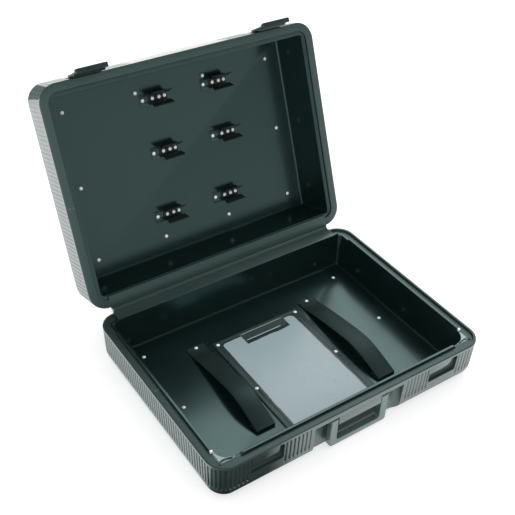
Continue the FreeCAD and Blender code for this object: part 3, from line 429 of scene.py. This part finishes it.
# each column of the wall has its side or corner, and how far along that it stands
columns = [(name, k / (count * perFlute)) for name, count in fluteForm["counts"].items()
           for k in range(count * perFlute)]
grooves = []
for index in range(len(columns)):
    near = columns[(index + perFlute // 2) // perFlute * perFlute % len(columns)]
    grooves.append(fluteForm["profile"][index % perFlute] * fluteForm["depth"] * fluteMask(*near))


def wallProfile(height, fadeTo):  # (inset, height, groove strength) from the closed end's flat to the rim
    draft, radius, rimRound = caseForm["wallDraft"], caseForm["edgeRadius"], caseForm["rimRadius"]
    slope = math.atan2(draft, height)

    def wallInset(z):
        return draft * (1 - z / height)

    centre = radius / math.cos(slope) + wallInset(radius)
    rows = []
    for step in range(10, 0, -1):
        turn = slope + (math.pi / 2 - slope) * step / 10
        rows.append((centre - radius * math.cos(turn), radius - radius * math.sin(turn), 0.0))
    fade = [(z, strength * fadeTo) for z, strength in fluteForm["start"]]
    fade.append((fluteForm["even"], (1 + fadeTo) / 2))
    fade += [(height - z, strength) for z, strength in fluteForm["stop"]]
    rows += [(wallInset(z), z, strength) for z, strength in fade]
    rows.append((wallInset(height - rimRound), height - rimRound, 0.0))
    for step in (1, 2, 3):
        turn = math.pi / 2 * step / 3
        rows.append((rimRound * (1 - math.cos(turn)), height - rimRound * (1 - math.sin(turn)), 0.0))
    return rows


def sweepRings(rows, columnCount, place):  # closed skin through rings, with both ends filled
    bm = bmesh.new()
    number = bm.verts.layers.int.new("column")
    ring = bmesh.ops.create_circle(bm, segments=columnCount, radius=1.0)["verts"]
    for k, vert in enumerate(ring):
        vert[number] = k
    edges = list(bm.edges)
    bmesh.ops.contextual_create(bm, geom=edges)
    for count, row in enumerate(rows):
        if count:
            grown = bmesh.ops.extrude_edge_only(bm, edges=edges)
            ring = set(newVerts(grown))
            edges = edgesAmong(grown, ring)
        for vert in ring:
            place(vert, vert[number], row)
    bmesh.ops.contextual_create(bm, geom=edges)
    return bm


# insets from the outer face in millimetres: the base's rim is a lip round a sunken channel
shellForm = {"base": {"channel": 4.1, "ledge": 12.8, "opening": 15.4, "floor": 3.0},
             "lid": {"channel": 0.0, "ledge": 12.4, "opening": 17.9, "floor": 2.0},
             "channelDepth": 3.6, "ledgeDepth": 4.0, "innerDraft": 4.0, "bandHeight": 1.0, "bandInset": 3.0,
             "lipEdge": 0.5, "stepEdge": 0.4}


def shellRows(height, form):
    ledge, opening, channel = form["ledge"], form["opening"], form["channel"]
    lip, step = shellForm["lipEdge"], shellForm["stepEdge"]
    rows = wallProfile(height, 1.0 if channel else fluteForm["lidFade"])
    if channel:
        sunk = height - shellForm["channelDepth"]
        rows += [(channel - lip, height, 0.0), (channel, height - lip, 0.0), (channel, sunk + step, 0.0),
                 (channel + step, sunk, 0.0), (ledge, sunk, 0.0)]
    else:
        rows += [(ledge - lip, height, 0.0), (ledge, height - step, 0.0),
                 (ledge, height - shellForm["ledgeDepth"], 0.0)]
    return rows + [(opening, rows[-1][1], 0.0), (opening + shellForm["innerDraft"], form["floor"], 0.0)]


def shellSkin(height, form):
    share = 1.0 if form["channel"] else fluteForm["lidShare"]

    def place(vert, count, row):
        inset, z, strength = row
        spot, way = ringSpot(*columns[count], inset)
        spot = spot - way * strength * share * grooves[count] if strength else spot
        vert.co = Vector((spot.x, spot.y, z)) * mm

    bm = sweepRings(shellRows(height, form), len(columns), place)
    band = bm.verts.layers.float.new("rimBand")
    for vert in bm.verts:
        inner = max(abs(vert.co.x) - caseForm["width"] / 2 * mm, abs(vert.co.y) - caseForm["depth"] / 2 * mm)
        high = vert.co.z > (height - shellForm["bandHeight"]) * mm
        vert[band] = 1.0 if high or inner < -shellForm["bandInset"] * mm else 0.0
    return bm


recessForm = {"halfWidth": 25.5, "radius": 3.0, "innerRound": 1.2, "outside": -171.0, "depth": -158.0,
              "baseSpan": (32.0, 60.5), "lidSpan": (69.9, 89.9),
              "lipOut": 1.3, "lipIn": 1.3, "lipRadius": 1.25,
              "keeperHalf": 21.5, "keeperFront": -161.2, "keeperLow": 43.0, "keeperHigh": 60.8,
              "keeperRound": 0.8}
bayForm = {"halfWidth": 74.5, "outside": -171.0, "front": -165.4, "back": -152.5, "radius": 9.0,
           "flare": 3.0, "flareFoot": 2.0, "bottom": -4.0, "top": 56.5, "topRound": 1.5,
           "bossHalf": 36.0, "bossFront": -164.85, "bossLow": 42.0, "bossRound": 1.0}
pinHoleForm = {"radius": 1.0, "depth": 5.0, "base": (216.4, 0.0, 61.4), "lid": (217.0, 6.0, 65.4)}
stopForm = {"half": 10.0, "front": 162.4, "near": 6.5, "far": 13.5, "gap": 0.15, "foot": 6.0, "edge": 0.8}
rimHook = {  # a low moulded curl on the rim beside each front corner, from the side round to the front
    "radius": 0.75,
    "route": [(210.9, -152.0, 2.9), (210.7, -149.6, 2.3), (209.4, -147.8, 1.9), (206.6, -146.7, 1.8),
              (203.1, -146.4, 1.9), (198.8, -146.9, 2.0), (194.9, -147.7, 2.2), (191.5, -148.2, 2.6)],
}


def addRecess(whole, side, span):  # a rounded box with soft inner corners
    form = recessForm
    middle = side * caseForm["latchMiddle"]
    bm = bmesh.new()
    addBlock(bm, (middle - form["halfWidth"], form["outside"], span[0]),
             (middle + form["halfWidth"], form["depth"], span[1]))
    roundEdges(bm, [e for e in bm.edges if abs(e.verts[0].co.y - e.verts[1].co.y) > mm], form["radius"], 6)
    deep = [e for e in bm.edges if all(v.co.y > (form["depth"] - gapForm["level"]) * mm for v in e.verts)]
    roundEdges(bm, deep, form["innerRound"], 3)
    takeIn(whole, bm)


def addPinHole(whole, side, place):
    bm = bmesh.new()
    radius = pinHoleForm["radius"] * mm
    bmesh.ops.create_cone(bm, cap_ends=True, segments=14, radius1=radius, radius2=radius,
                          depth=pinHoleForm["depth"] * mm)
    bmesh.ops.translate(bm, vec=Vector((side * place[0], place[1], place[2])) * mm, verts=bm.verts)
    takeIn(whole, bm)


def addBay(whole):  # the hollow that the handle folds into
    form = bayForm
    half, r, flare = form["halfWidth"], form["radius"], form["flare"]
    left = [(-half - flare - form["flareFoot"], form["outside"])]
    left += arcPoints(-half - flare, form["front"] + flare, flare, -90, 0, 5)
    left += arcPoints(-half + r, form["back"] - r, r, 180, 90, 8)
    bm = bmesh.new()
    addBar(bm, left + [(-x, y) for x, y in reversed(left)], form["bottom"], form["top"], axis="z")
    top = [e for e in bm.edges if all(v.co.z > (form["top"] - gapForm["level"]) * mm for v in e.verts)
           and max(v.co.y for v in e.verts) > (form["front"] + form["topRound"]) * mm]
    roundEdges(bm, top, form["topRound"], 3)
    takeIn(whole, bm)


def baseLean(z):
    return caseForm["wallDraft"] * (1 - z / caseForm["baseRim"])


def lidLean(z):
    return caseForm["wallDraft"] * (z - caseForm["lidRim"]) / (caseForm["lidTop"] - caseForm["lidRim"])


def addRecessLip(bm, side, span, lean):  # the raised lip round a latch recess
    form = recessForm
    middle, r = side * caseForm["latchMiddle"], form["radius"]
    x0, x1 = middle - form["halfWidth"] + r, middle + form["halfWidth"] - r
    low, high = span[0] + r, span[1] - r
    path = []
    for cx, cz, start in ((x1, high, 0), (x0, high, 90), (x0, low, 180), (x1, low, 270)):
        path += arcPoints(cx, cz, r + form["lipOut"], start, start + 90, 6)
    spots = [(x, caseForm["depth"] / -2 + form["lipIn"] + lean(z), z) for x, z in path]
    tubeAlong(bm, spots + spots[:1], form["lipRadius"])


def stopOutline(way):  # the wedge on a back wall that meets its like when the lid is open
    form = stopForm
    y0, z0 = caseForm["hingeY"], caseForm["hingeZ"]
    turn = math.radians(90 - caseForm["lidAngle"] / 2)
    out, down = math.sin(turn), math.cos(turn)
    points = [(form["front"], z0 + way * form["near"] * down)]
    points += [(y0 + r * out - form["gap"] * down, z0 + way * (r * down + form["gap"] * out))
               for r in (form["near"], form["far"])]
    points.append((form["front"], z0 + way * (form["far"] * down + form["foot"])))
    return points


def addStops(bm, way):
    for side in (-1, 1):
        middle = side * caseForm["stopMiddle"]
        made = addBar(bm, stopOutline(way), middle - stopForm["half"], middle + stopForm["half"])
        roundEdges(bm, list({e for v in made for e in v.link_edges}), stopForm["edge"])


def buildBaseShell():
    rim, overlap, form = caseForm["baseRim"], caseForm["overlap"], recessForm
    piece = addPiece(shellSkin(rim, shellForm["base"]), "baseShellBody", "base", shellFinish,
                     ("base_shell",))
    cutter = bmesh.new()
    for side in (-1, 1):
        addRecess(cutter, side, form["baseSpan"])
        addPinHole(cutter, side, pinHoleForm["base"])
    addBay(cutter)
    carve(piece, cutter)
    bm = bmesh.new()
    for side in (-1, 1):
        addRecessLip(bm, side, form["baseSpan"], baseLean)
        middle = side * caseForm["latchMiddle"]
        addBlock(bm, (middle - form["keeperHalf"], form["keeperFront"], form["keeperLow"]),
                 (middle + form["keeperHalf"], form["depth"] + overlap, form["keeperHigh"]),
                 form["keeperRound"])
        tubeAlong(bm, [(side * x, y, rim - sunk) for x, y, sunk in rimHook["route"]], rimHook["radius"])
    addBlock(bm, (-bayForm["bossHalf"], bayForm["bossFront"], bayForm["bossLow"]),
             (bayForm["bossHalf"], bayForm["back"] + overlap, bayForm["top"] + overlap),
             bayForm["bossRound"], 3)
    addStops(bm, -1)
    joinInto(piece, bm)
    print("base shell built", len(piece.data.polygons))


def buildLidShell():
    bm = shellSkin(caseForm["lidTop"] - caseForm["lidRim"], shellForm["lid"])
    bmesh.ops.scale(bm, vec=(1, 1, -1), verts=bm.verts)
    bmesh.ops.translate(bm, vec=(0, 0, caseForm["lidTop"] * mm), verts=bm.verts)
    piece = addPiece(bm, "lidShellBody", "lid", shellFinish, ("lid_shell",))
    cutter = bmesh.new()
    for side in (-1, 1):
        addRecess(cutter, side, recessForm["lidSpan"])
        addPinHole(cutter, side, pinHoleForm["lid"])
    carve(piece, cutter)
    bm = bmesh.new()
    for side in (-1, 1):
        addRecessLip(bm, side, recessForm["lidSpan"], lidLean)
    addStops(bm, 1)
    joinInto(piece, bm, openLid)
    print("lid shell built", len(piece.data.polygons))


# Liners

linerForm = {"base": {"flange": 12.9, "opening": 17.1}, "lid": {"flange": 12.5, "opening": 19.6},
             "corner": 4.5, "cornerSteps": 8, "sideSteps": 24, "mouthRound": 0.8, "floorRound": 3.4,
             "draft": 4.2, "lip": 4.4, "lipRound": 0.4, "thick": 1.5, "endThick": 1.4,
             "flangeEnd": 0.885, "endDrop": 0.004, "endClear": 0.01, "lowFlange": 3.3, "lidFlange": 2.4}


def linerMarks():  # columns along the sides stand closer where the raised flange ends
    form = linerForm
    end, count, drop = (1 + form["flangeEnd"]) / 2, form["sideSteps"], form["endDrop"]
    last = end - form["endClear"]
    even = [k / count for k in range(1, count) if 1 - last < k / count < last]
    side = [0.0, (1 - end) / 2, 1 - drop - end, 1 + drop - end]
    side += even + [end - drop, end + drop, (1 + end) / 2]
    corner = [k / form["cornerSteps"] for k in range(form["cornerSteps"])]
    marks = []
    for name in fluteForm["counts"]:
        marks += [(name, along) for along in (side if name in ("front", "right", "back", "left") else corner)]
    return marks


def linerSkin(rim, way, seat, shape, flangeSink):
    form = linerForm
    marks = linerMarks()
    flange, opening = shape["flange"], shape["opening"]
    corner, mouth, low = form["corner"], form["mouthRound"], form["floorRound"]
    thick, lip, hidden = form["thick"], form["lip"], form["endThick"]
    wide = corner + opening - flange
    rows = [(opening - hidden, seat - way * thick, corner + hidden, 0.0),  # the closed end's hidden face
            (opening - thick, rim - way * lip, corner + thick, 0.0),
            (flange, rim - way * lip, wide, 0.0), (flange, rim - way * form["lipRound"], wide, 1.0),
            (flange + form["lipRound"], rim, wide - form["lipRound"], 1.0),
            (opening - mouth, rim, corner + mouth, 1.0)]
    for step in (1, 2, 3):
        turn = math.pi / 2 * step / 3
        rows.append((opening - mouth + mouth * math.sin(turn), rim - way * mouth * (1 - math.cos(turn)),
                     corner + mouth * (1 - math.sin(turn)), 1.0))
    depth = abs(rim - seat)
    end = opening + form["draft"] * (depth - low) / depth
    for step in range(6):
        turn = math.pi / 2 * step / 5
        rows.append((end + low * (1 - math.cos(turn)), seat + way * low * (1 - math.sin(turn)),
                     max(corner - low * (1 - math.cos(turn)), 1.0), 0.0))

    def place(vert, count, row):
        inset, z, radius, lifted = row
        section, along = marks[count]
        spot, _ = ringSpot(section, along, inset, radius)
        vert.co = Vector((spot.x, spot.y, z - way * lifted * flangeSink(section, along))) * mm

    return sweepRings(rows, len(marks), place)


def baseSink(section, along):  # the flange stands level with the rim along the sides and drops at the corners
    raised = section in ("front", "left", "right") and abs(2 * along - 1) < linerForm["flangeEnd"]
    return 0.0 if raised or section == "back" else linerForm["lowFlange"]


pegForm = {"x": 210.4, "half": 1.8, "front": -130.1, "back": -126.9, "low": 61.0, "high": 65.3, "edge": 0.5}
webForm = {"centre": (187.9, -127.9), "radius": 20.0, "low": 60.4, "high": 61.75,
           "outer": [(190.0, -149.4), (209.4, -149.4), (209.4, -129.0)]}


def buildLiners():
    bm = linerSkin(caseForm["baseRim"], 1, caseForm["baseSeat"], linerForm["base"], baseSink)
    addPiece(bm, "baseLinerTray", "base", linerFinish, ("base_liner",))
    bm = linerSkin(caseForm["lidRim"], -1, caseForm["lidSeat"], linerForm["lid"],
                   lambda *spot: linerForm["lidFlange"])  # at one level all round
    openLid(bm)
    addPiece(bm, "lidLinerTray", "lid", linerFinish, ("lid_liner",))
    pegs = bmesh.new()
    for side in (-1, 1):  # small square pegs at the front ends of the side grooves, painted pale as a highlight
        addBlock(pegs, (side * pegForm["x"] - pegForm["half"], pegForm["front"], pegForm["low"]),
                 (side * pegForm["x"] + pegForm["half"], pegForm["back"], pegForm["high"]), pegForm["edge"])
    addPiece(pegs, "rimPegs", "base", paleAndHighlightFinish)
    webs = bmesh.new()
    outline = arcPoints(*webForm["centre"], webForm["radius"], 0, -90, 10) + webForm["outer"]
    for side in (-1, 1):  # the flange is broad across the two front corners
        addBar(webs, [(side * x, y) for x, y in outline], webForm["low"], webForm["high"], axis="z")
    addPiece(webs, "cornerWebs", "base", shellFinish)
    print("liners built")


# Small pieces

hingeForm = {"half": 195.0, "count": 13, "gap": 0.12, "radius": 3.75, "knuckleRound": 0.14,
             "flapHalf": 197.0, "flapFront": 147.2, "flapBack": 167.2, "flapSunk": 0.6, "flapProud": 0.17,
             "flapRound": 0.32}


def buildHinge():  # knuckles that close up to one smooth roll, and a flap over each rim
    form = hingeForm
    pitch = 2 * form["half"] / form["count"]
    circle = arcPoints(caseForm["hingeY"], caseForm["hingeZ"], form["radius"], 0, 345, 23)
    for odd, body, way in ((0, "base", 1), (1, "lid", -1)):
        level = caseForm[body + "Rim"]
        bm = bmesh.new()
        for count in range(odd, form["count"], 2):
            start = -form["half"] + count * pitch
            addBar(bm, circle, start + form["gap"] / 2, start + pitch - form["gap"] / 2)
        ends = [e for e in bm.edges if abs(e.verts[0].co.x - e.verts[1].co.x) < gapForm["weld"] * mm]
        roundEdges(bm, ends, form["knuckleRound"], 1)
        flap = bmesh.new()
        addBlock(flap, (-form["flapHalf"], form["flapFront"], level - way * form["flapSunk"]),
                 (form["flapHalf"], form["flapBack"], level + way * form["flapProud"]), form["flapRound"], 3)
        takeIn(bm, flap)
        if body == "lid":
            openLid(bm)
        addPiece(bm, f"{body}HingeStrip", body, hingeFinish, (f"hinge_leaf_{body}",))
    print("hinge built")


clipForm = {"rows": {"top": -100.0, "middle": -18.5, "bottom": 79.0}, "edge": -39.0, "pitch": 105.0,
            "lowShift": 16.0,
            "height": 19.0, "halfGap": 7.6, "thick": 1.6, "waist": 9.0, "pinch": 2.4, "flare": 2.0,
            "backSlope": (0.8, -1.5), "frontSlope": (30.0, 33.5), "edgeRound": 0.35,
            "stepBack": -0.7, "stepFront": 1.6, "stepHeight": 2.0, "stepIn": 0.3, "stepRound": 0.6,
            "barSpan": (-3.0, 34.5),  # cut to length by the two slopes
            "flangeSpan": (-15.0, 1.0), "flangeThick": 0.8, "flangeSink": 0.2, "flangeRound": 0.7}


def clipEdge(row, side):  # where the left end of a clip stands
    return clipForm["edge"] + (side == "right") * clipForm["pitch"] - (row == "bottom") * clipForm["lowShift"]


def buildClip(row, side):  # a channel whose two springy arms lean in, flare out and taper at their ends
    form = clipForm
    edge = clipEdge(row, side)
    middle, seat, half = form["rows"][row], caseForm["lidSeat"], form["halfGap"]
    wide, waist, tipZ = half + form["thick"], seat - form["waist"], seat - form["height"]
    arm = [(wide, seat), (wide - form["pinch"], waist), (wide + form["flare"], tipZ),
           (half + form["flare"], tipZ), (half - form["pinch"], waist), (half, seat - form["thick"])]
    outline = [(middle + u, z) for u, z in arm] + [(middle - u, z) for u, z in reversed(arm)]
    bm = bmesh.new()
    addBar(bm, outline, edge + form["barSpan"][0], edge + form["barSpan"][1])
    for (root, end), way in ((form["backSlope"], -1), (form["frontSlope"], 1)):
        slope = Vector((form["height"], 0, end - root)).normalized() * way
        spot = Vector((edge + root, middle, seat)) * mm
        bmesh.ops.bisect_plane(bm, geom=bm.verts[:] + bm.edges[:] + bm.faces[:], plane_co=spot,
                               plane_no=slope, clear_outer=True)
        bmesh.ops.holes_fill(bm, edges=[e for e in bm.edges if e.is_boundary], sides=0)
    bmesh.ops.remove_doubles(bm, verts=bm.verts, dist=gapForm["weld"] * mm)
    roundEdges(bm, sharpEdges(bm, angleForm["clip"]), form["edgeRound"])
    step = bmesh.new()
    addBlock(step, (edge + form["stepBack"], middle - wide + form["stepIn"], seat - form["stepHeight"]),
             (edge + form["stepFront"], middle + wide - form["stepIn"], seat), form["stepRound"], 3)
    takeIn(bm, step)
    openLid(bm)
    addPiece(bm, f"{row}{side.title()}Clip", "lid", clipFinish, (f"tool_clip_{row}_{side}",))


def buildClipFlanges():  # the thin glossy plate to the left of each clip
    form = clipForm
    seat, wide = caseForm["lidSeat"], form["halfGap"] + form["thick"]
    bm = bmesh.new()
    for row, middle in form["rows"].items():
        for side in ("left", "right"):
            edge = clipEdge(row, side)
            addBlock(bm, (edge + form["flangeSpan"][0], middle - wide, seat - form["flangeThick"]),
                     (edge + form["flangeSpan"][1], middle + wide, seat + form["flangeSink"]),
                     form["flangeRound"], 3)
    openLid(bm)
    addPiece(bm, "clipFlanges", "lid", linerFinish)


strapForm = {"middle": 102.0, "width": 30.0, "thick": 1.8, "skin": 1.71, "frontSkin": 1.62, "foot": 0.1,
             "back": 80.0, "tab": 15.0,
             "front": {-1: -94.0, 1: -105.0}, "fold": 17.0, "edgeRound": 0.35, "steps": 40,
             "rise": ((0.0, 0.4), (0.035, 1.2), (0.08, 3.4), (0.16, 6.6), (0.28, 10.2), (0.42, 14.2),
                      (0.54, 17.2), (0.64, 18.4), (0.72, 17.2), (0.80, 13.8), (0.87, 9.8), (0.94, 6.0),
                      (1.0, 2.6))}


def strapHeight(share):  # how high the band stands, from its back end at 0 to its front end at 1
    curve = strapForm["rise"]
    for (a, low), (b, high) in zip(curve, curve[1:]):
        if share <= b:
            return low + (high - low) * ((share - a) / (b - a))
    return curve[-1][1]


def buildStrap(side, name, node):  # a springy band: flat tab, long rise, short fall and a fold under itself
    form = strapForm
    front, back, thick, seat = form["front"][side], form["back"], form["thick"], caseForm["baseSeat"]
    shares = [k / form["steps"] for k in range(form["steps"] + 1)]
    middle = [(back + form["tab"], 0.0)] + [(back + (front - back) * s, strapHeight(s)) for s in shares]
    for _ in range(2):  # ease the bends
        eased = [(y, (a + 2 * z + c) / 4) for (_, a), (y, z), (_, c) in zip(middle, middle[1:], middle[2:])]
        middle = middle[:1] + eased + middle[-1:]
    top = [(y, seat + z + form["skin"]) for y, z in middle]
    under = [(y, seat + z) for y, z in middle[:-1]]
    under.append((middle[-1][0] + form["frontSkin"], seat + middle[-1][1]))
    fold = [(front, seat + form["foot"]), (front + form["fold"], seat + form["foot"]),
            (front + form["fold"], seat + thick), (front + thick, seat + thick)]
    bm = bmesh.new()
    across = side * form["middle"]
    addBar(bm, top + fold + under[::-1], across - form["width"] / 2, across + form["width"] / 2)
    rims = [e for e in bm.edges if abs(e.verts[0].co.x - e.verts[1].co.x) < gapForm["weld"] * mm]
    roundEdges(bm, rims, form["edgeRound"])
    addPiece(bm, name, "base", strapFinish, (node,))


pocketForm = {"half": 77.5, "front": -136.0, "back": 85.5, "level": 4.62, "sheet": 0.55, "corner": 3.0,
              "weld": 0.28, "weldInset": 0.9, "weldLevel": 6.4, "hemRound": 0.2, "filmRound": 0.12,
              "slotLevel": 6.3, "slotHighlightLines": ((-28.2, 33.0, 65.3, 0.5), (-31.0, 45.0, 79.6, 0.3))}


def buildPocket():  # a welded pocket that lies flat on the tray's floor
    form = pocketForm
    bm = bmesh.new()
    addBlock(bm, (-form["half"], form["front"], form["level"]),
             (form["half"], form["back"], form["level"] + form["sheet"]))
    upright = [e for e in bm.edges if abs(e.verts[0].co.z - e.verts[1].co.z) > gapForm["level"] * mm]
    roundEdges(bm, upright, form["corner"], 4)
    sheet = addPiece(bm, "pocketBackSheet", "base", pocketFinish, ("pocket_backing",))
    hem = softenedNode("pocket_hem", form["hemRound"])
    weld = []
    for cx, cy, start in ((1, 1, 0), (-1, 1, 90), (-1, -1, 180), (1, -1, 270)):
        x = cx * (form["half"] - form["weldInset"] - form["corner"])
        y = (form["back"] if cy > 0 else form["front"]) - cy * (form["weldInset"] + form["corner"])
        weld += arcPoints(x, y, form["corner"], start, start + 90, 4)
    tubeAlong(hem, [(x, y, form["weldLevel"]) for x, y in weld + weld[:1]], form["weld"], 6)
    band = addPiece(hem, "pocketHemBand", "base", pocketFinish, ("pocket_hem",))
    film = softenedNode("pocket_film", form["filmRound"], 1)
    window = addPiece(film, "pocketWindow", "base", filmFinish, ("pocket_film",))
    bm = bmesh.new()
    for left, right, y, radius in form["slotHighlightLines"]:  # pale beads paint the highlight where light catches both edges of the thumb slot
        tubeAlong(bm, [(left, y, form["slotLevel"]), (right, y, form["slotLevel"])], radius, 6)
    edge = addPiece(bm, "pocketSlotPaintedHighlight", "base", slotHighlightFinish)
    print("pocket built")
    return sheet, (band, window, edge)


latchForm = {"round": 0.5, "lift": -11.0, "pivot": (-161.5, 75.4), "ridgeHalf": 22.0, "ridgeFront": -172.35,
             "ridgeBack": -172.0, "ridges": (42.2, 43.3, 44.4), "ridgeHeight": 0.5, "ridgeRound": 0.12}


def buildLatch(side, sideName):  # fine grip lines on the lip are drawn shut, then lifted and opened
    form = latchForm
    middle = side * caseForm["latchMiddle"]
    ridges = bmesh.new()
    for z in form["ridges"]:
        addBlock(ridges, (middle - form["ridgeHalf"], form["ridgeFront"], z),
                 (middle + form["ridgeHalf"], form["ridgeBack"], z + form["ridgeHeight"]),
                 form["ridgeRound"], 1)
    tip(ridges, form["pivot"], form["lift"])
    openLid(ridges)
    node = f"latch_{sideName}"
    bm = softenedNode(node, form["round"], 3)
    takeIn(bm, ridges)
    addPiece(bm, f"{sideName}LatchLever", f"{sideName}_latch", latchFinish, (node,))


handleForm = {"edgeRound": 0.4}


def buildSmallPieces():
    buildLatch(-1, "left")
    buildLatch(1, "right")
    bm = softenedNode("carry_handle", handleForm["edgeRound"])
    addPiece(bm, "carryHandleLoop", "handle", handleFinish, ("carry_handle",))
    for row in clipForm["rows"]:
        for side in ("left", "right"):
            buildClip(row, side)
    buildClipFlanges()
    buildStrap(-1, "leftStrapBand", "strap_left")
    buildStrap(1, "rightStrapBand", "strap_right")
    print("small pieces built")


buildBaseShell()
buildLidShell()
buildLiners()
buildHinge()
buildSmallPieces()
backing, pocketParts = buildPocket()

solidFinishes = {
    pinFinish: ("hinge_pin", "handle_pins", "latch_pin_left", "latch_pin_right"),
    paleAndHighlightFinish: ("base_liner_rivets", "strap_rivets", "pocket_rivets", "lid_liner_rivets",
                  "tool_clip_rivets"),
}
for finish, names in solidFinishes.items():
    for node in names:
        for place in nodes[node].material_slots:
            place.material = finish
print("solids finished")


# Stage, light and view

stageForm = {  # the floor in metres, and what each kind of ray meets
    "floorHalf": 40.0, "floorLevel": -0.0002, "floorColour": 0.62, "floorGlow": 0.56, "mirrorGlow": 0.34,
    # painted shadow: a dark spot on the floor, seen only in gloss, by the case's front left corner
    "shade": (-0.19, -0.22, 0.0), "paintedShadowFrom": 0.12, "paintedShadowTo": 0.07, "paintedShadowColour": 0.02,
    "sky": 0.95, "horizon": 0.05, "overhead": 0.50, "horizonShine": 0.83, "overheadShine": 0.18,
}
lampForms = {  # size in metres, power in watts, place and target
    "keyLamp": (1.55, 17.5, (1.26, 1.09, 1.68), (0, 0, 0.05)),
    "fillLamp": (1.2, 7.0, (-1.2, -1.9, 1.3), (0, 0.1, 0.1)),
}
cameraForm = {"place": (-0.5847, -0.7421, 0.9289), "turn": (52.052, -1.778, -33.817), "focusPixels": 888.81,
              "photoPixels": 515.0, "sensor": 36.0}


def grey(value):
    return (value, value, value, 1.0)


def buildFloor():  # gloss alone mirrors a painted shadow on it, by the case's front left corner
    form = stageForm
    bm = bmesh.new()
    bmesh.ops.create_grid(bm, x_segments=4, y_segments=4, size=form["floorHalf"])
    bmesh.ops.recalc_face_normals(bm, faces=bm.faces)
    floor = addObject("paleFloor", meshOf(bm, "paleFloor"))
    floor.location = (0, 0, form["floorLevel"])
    material = bpy.data.materials.new("paleFloor")
    material.use_nodes = True
    net = material.node_tree
    tree = net.nodes
    shader = tree["Principled BSDF"]
    for socket, value in (("Roughness", 0.9), ("Specular IOR Level", 0.0), ("Emission Color", grey(1.0))):
        shader.inputs[socket].default_value = value
    path = addNode(tree, "LightPath")
    where = addNode(tree, "TexCoord")
    away = addNode(tree, "VectorMath", {1: form["shade"]}, operation="DISTANCE")
    shade = addNode(tree, "MapRange", {"From Min": form["paintedShadowTo"], "From Max": form["paintedShadowFrom"]})
    lit = addNode(tree, "Math", operation="MULTIPLY")
    dark = addNode(tree, "Math", operation="SUBTRACT")
    tone = addNode(tree, "Mix", {"A": grey(form["floorColour"]), "B": grey(form["paintedShadowColour"])},
                   data_type="RGBA")
    mirrored = addNode(tree, "Math", {1: form["mirrorGlow"]}, operation="MULTIPLY")
    glow = addNode(tree, "Math", {1: form["floorGlow"]}, operation="MULTIPLY_ADD")
    wire(net, (where, "Object", away, 0), (away, "Value", shade, "Value"), (path, "Is Glossy Ray", lit, 0),
         (shade, "Result", lit, 1), (path, "Is Glossy Ray", dark, 0), (lit, "Value", dark, 1),
         (dark, "Value", tone, "Factor"), (tone, "Result", shader, "Base Color"),
         (lit, "Value", mirrored, 0), (path, "Is Camera Ray", glow, 0), (mirrored, "Value", glow, 2),
         (glow, "Value", shader, "Emission Strength"))
    floor.data.materials.append(material)


def buildRoom():
    form = stageForm
    world = bpy.data.worlds.new("studio")
    world.use_nodes = True
    net = world.node_tree
    tree = net.nodes
    room = tree["Background"]
    room.inputs["Color"].default_value = grey(1.0)
    path = addNode(tree, "LightPath")
    where = addNode(tree, "TexCoord")
    parts = addNode(tree, "SeparateXYZ")
    rise = addNode(tree, "MapRange", {"From Min": form["horizon"], "From Max": form["overhead"],
                                      "To Min": form["horizonShine"], "To Max": form["overheadShine"]},
                   interpolation_type="SMOOTHSTEP")  # what gloss mirrors: a pale room that darkens overhead
    mirrored = addNode(tree, "Mix", {"A": form["sky"]})
    seen = addNode(tree, "Mix", {"B": 1.0})
    wire(net, (where, "Generated", parts, "Vector"), (parts, "Z", rise, "Value"),
         (path, "Is Glossy Ray", mirrored, "Factor"), (rise, "Result", mirrored, "B"),
         (path, "Is Camera Ray", seen, "Factor"), (mirrored, "Result", seen, "A"),
         (seen, "Result", room, "Strength"))
    bpy.context.scene.world = world


def addLamp(name, size, power, place, target):
    data = bpy.data.lights.new(name, "AREA")
    data.size = size
    data.energy = power
    lamp = addObject(name, data)
    lamp.location = place
    aim = Vector(target) - Vector(place)
    lamp.rotation_euler = aim.to_track_quat("-Z", "Y").to_euler()


def buildCamera():
    form = cameraForm
    data = bpy.data.cameras.new("view")
    data.sensor_fit = "HORIZONTAL"
    data.sensor_width = form["sensor"]
    data.lens = form["focusPixels"] * form["sensor"] / form["photoPixels"]
    camera = addObject("view", data)
    camera.location = form["place"]
    camera.rotation_euler = Euler([math.radians(a) for a in form["turn"]], "XYZ")
    bpy.context.scene.camera = camera


buildFloor()
buildRoom()
for name, form in lampForms.items():
    addLamp(name, *form)
buildCamera()
bpy.context.scene.view_settings.view_transform = "Standard"
print("stage, lamps and camera set")
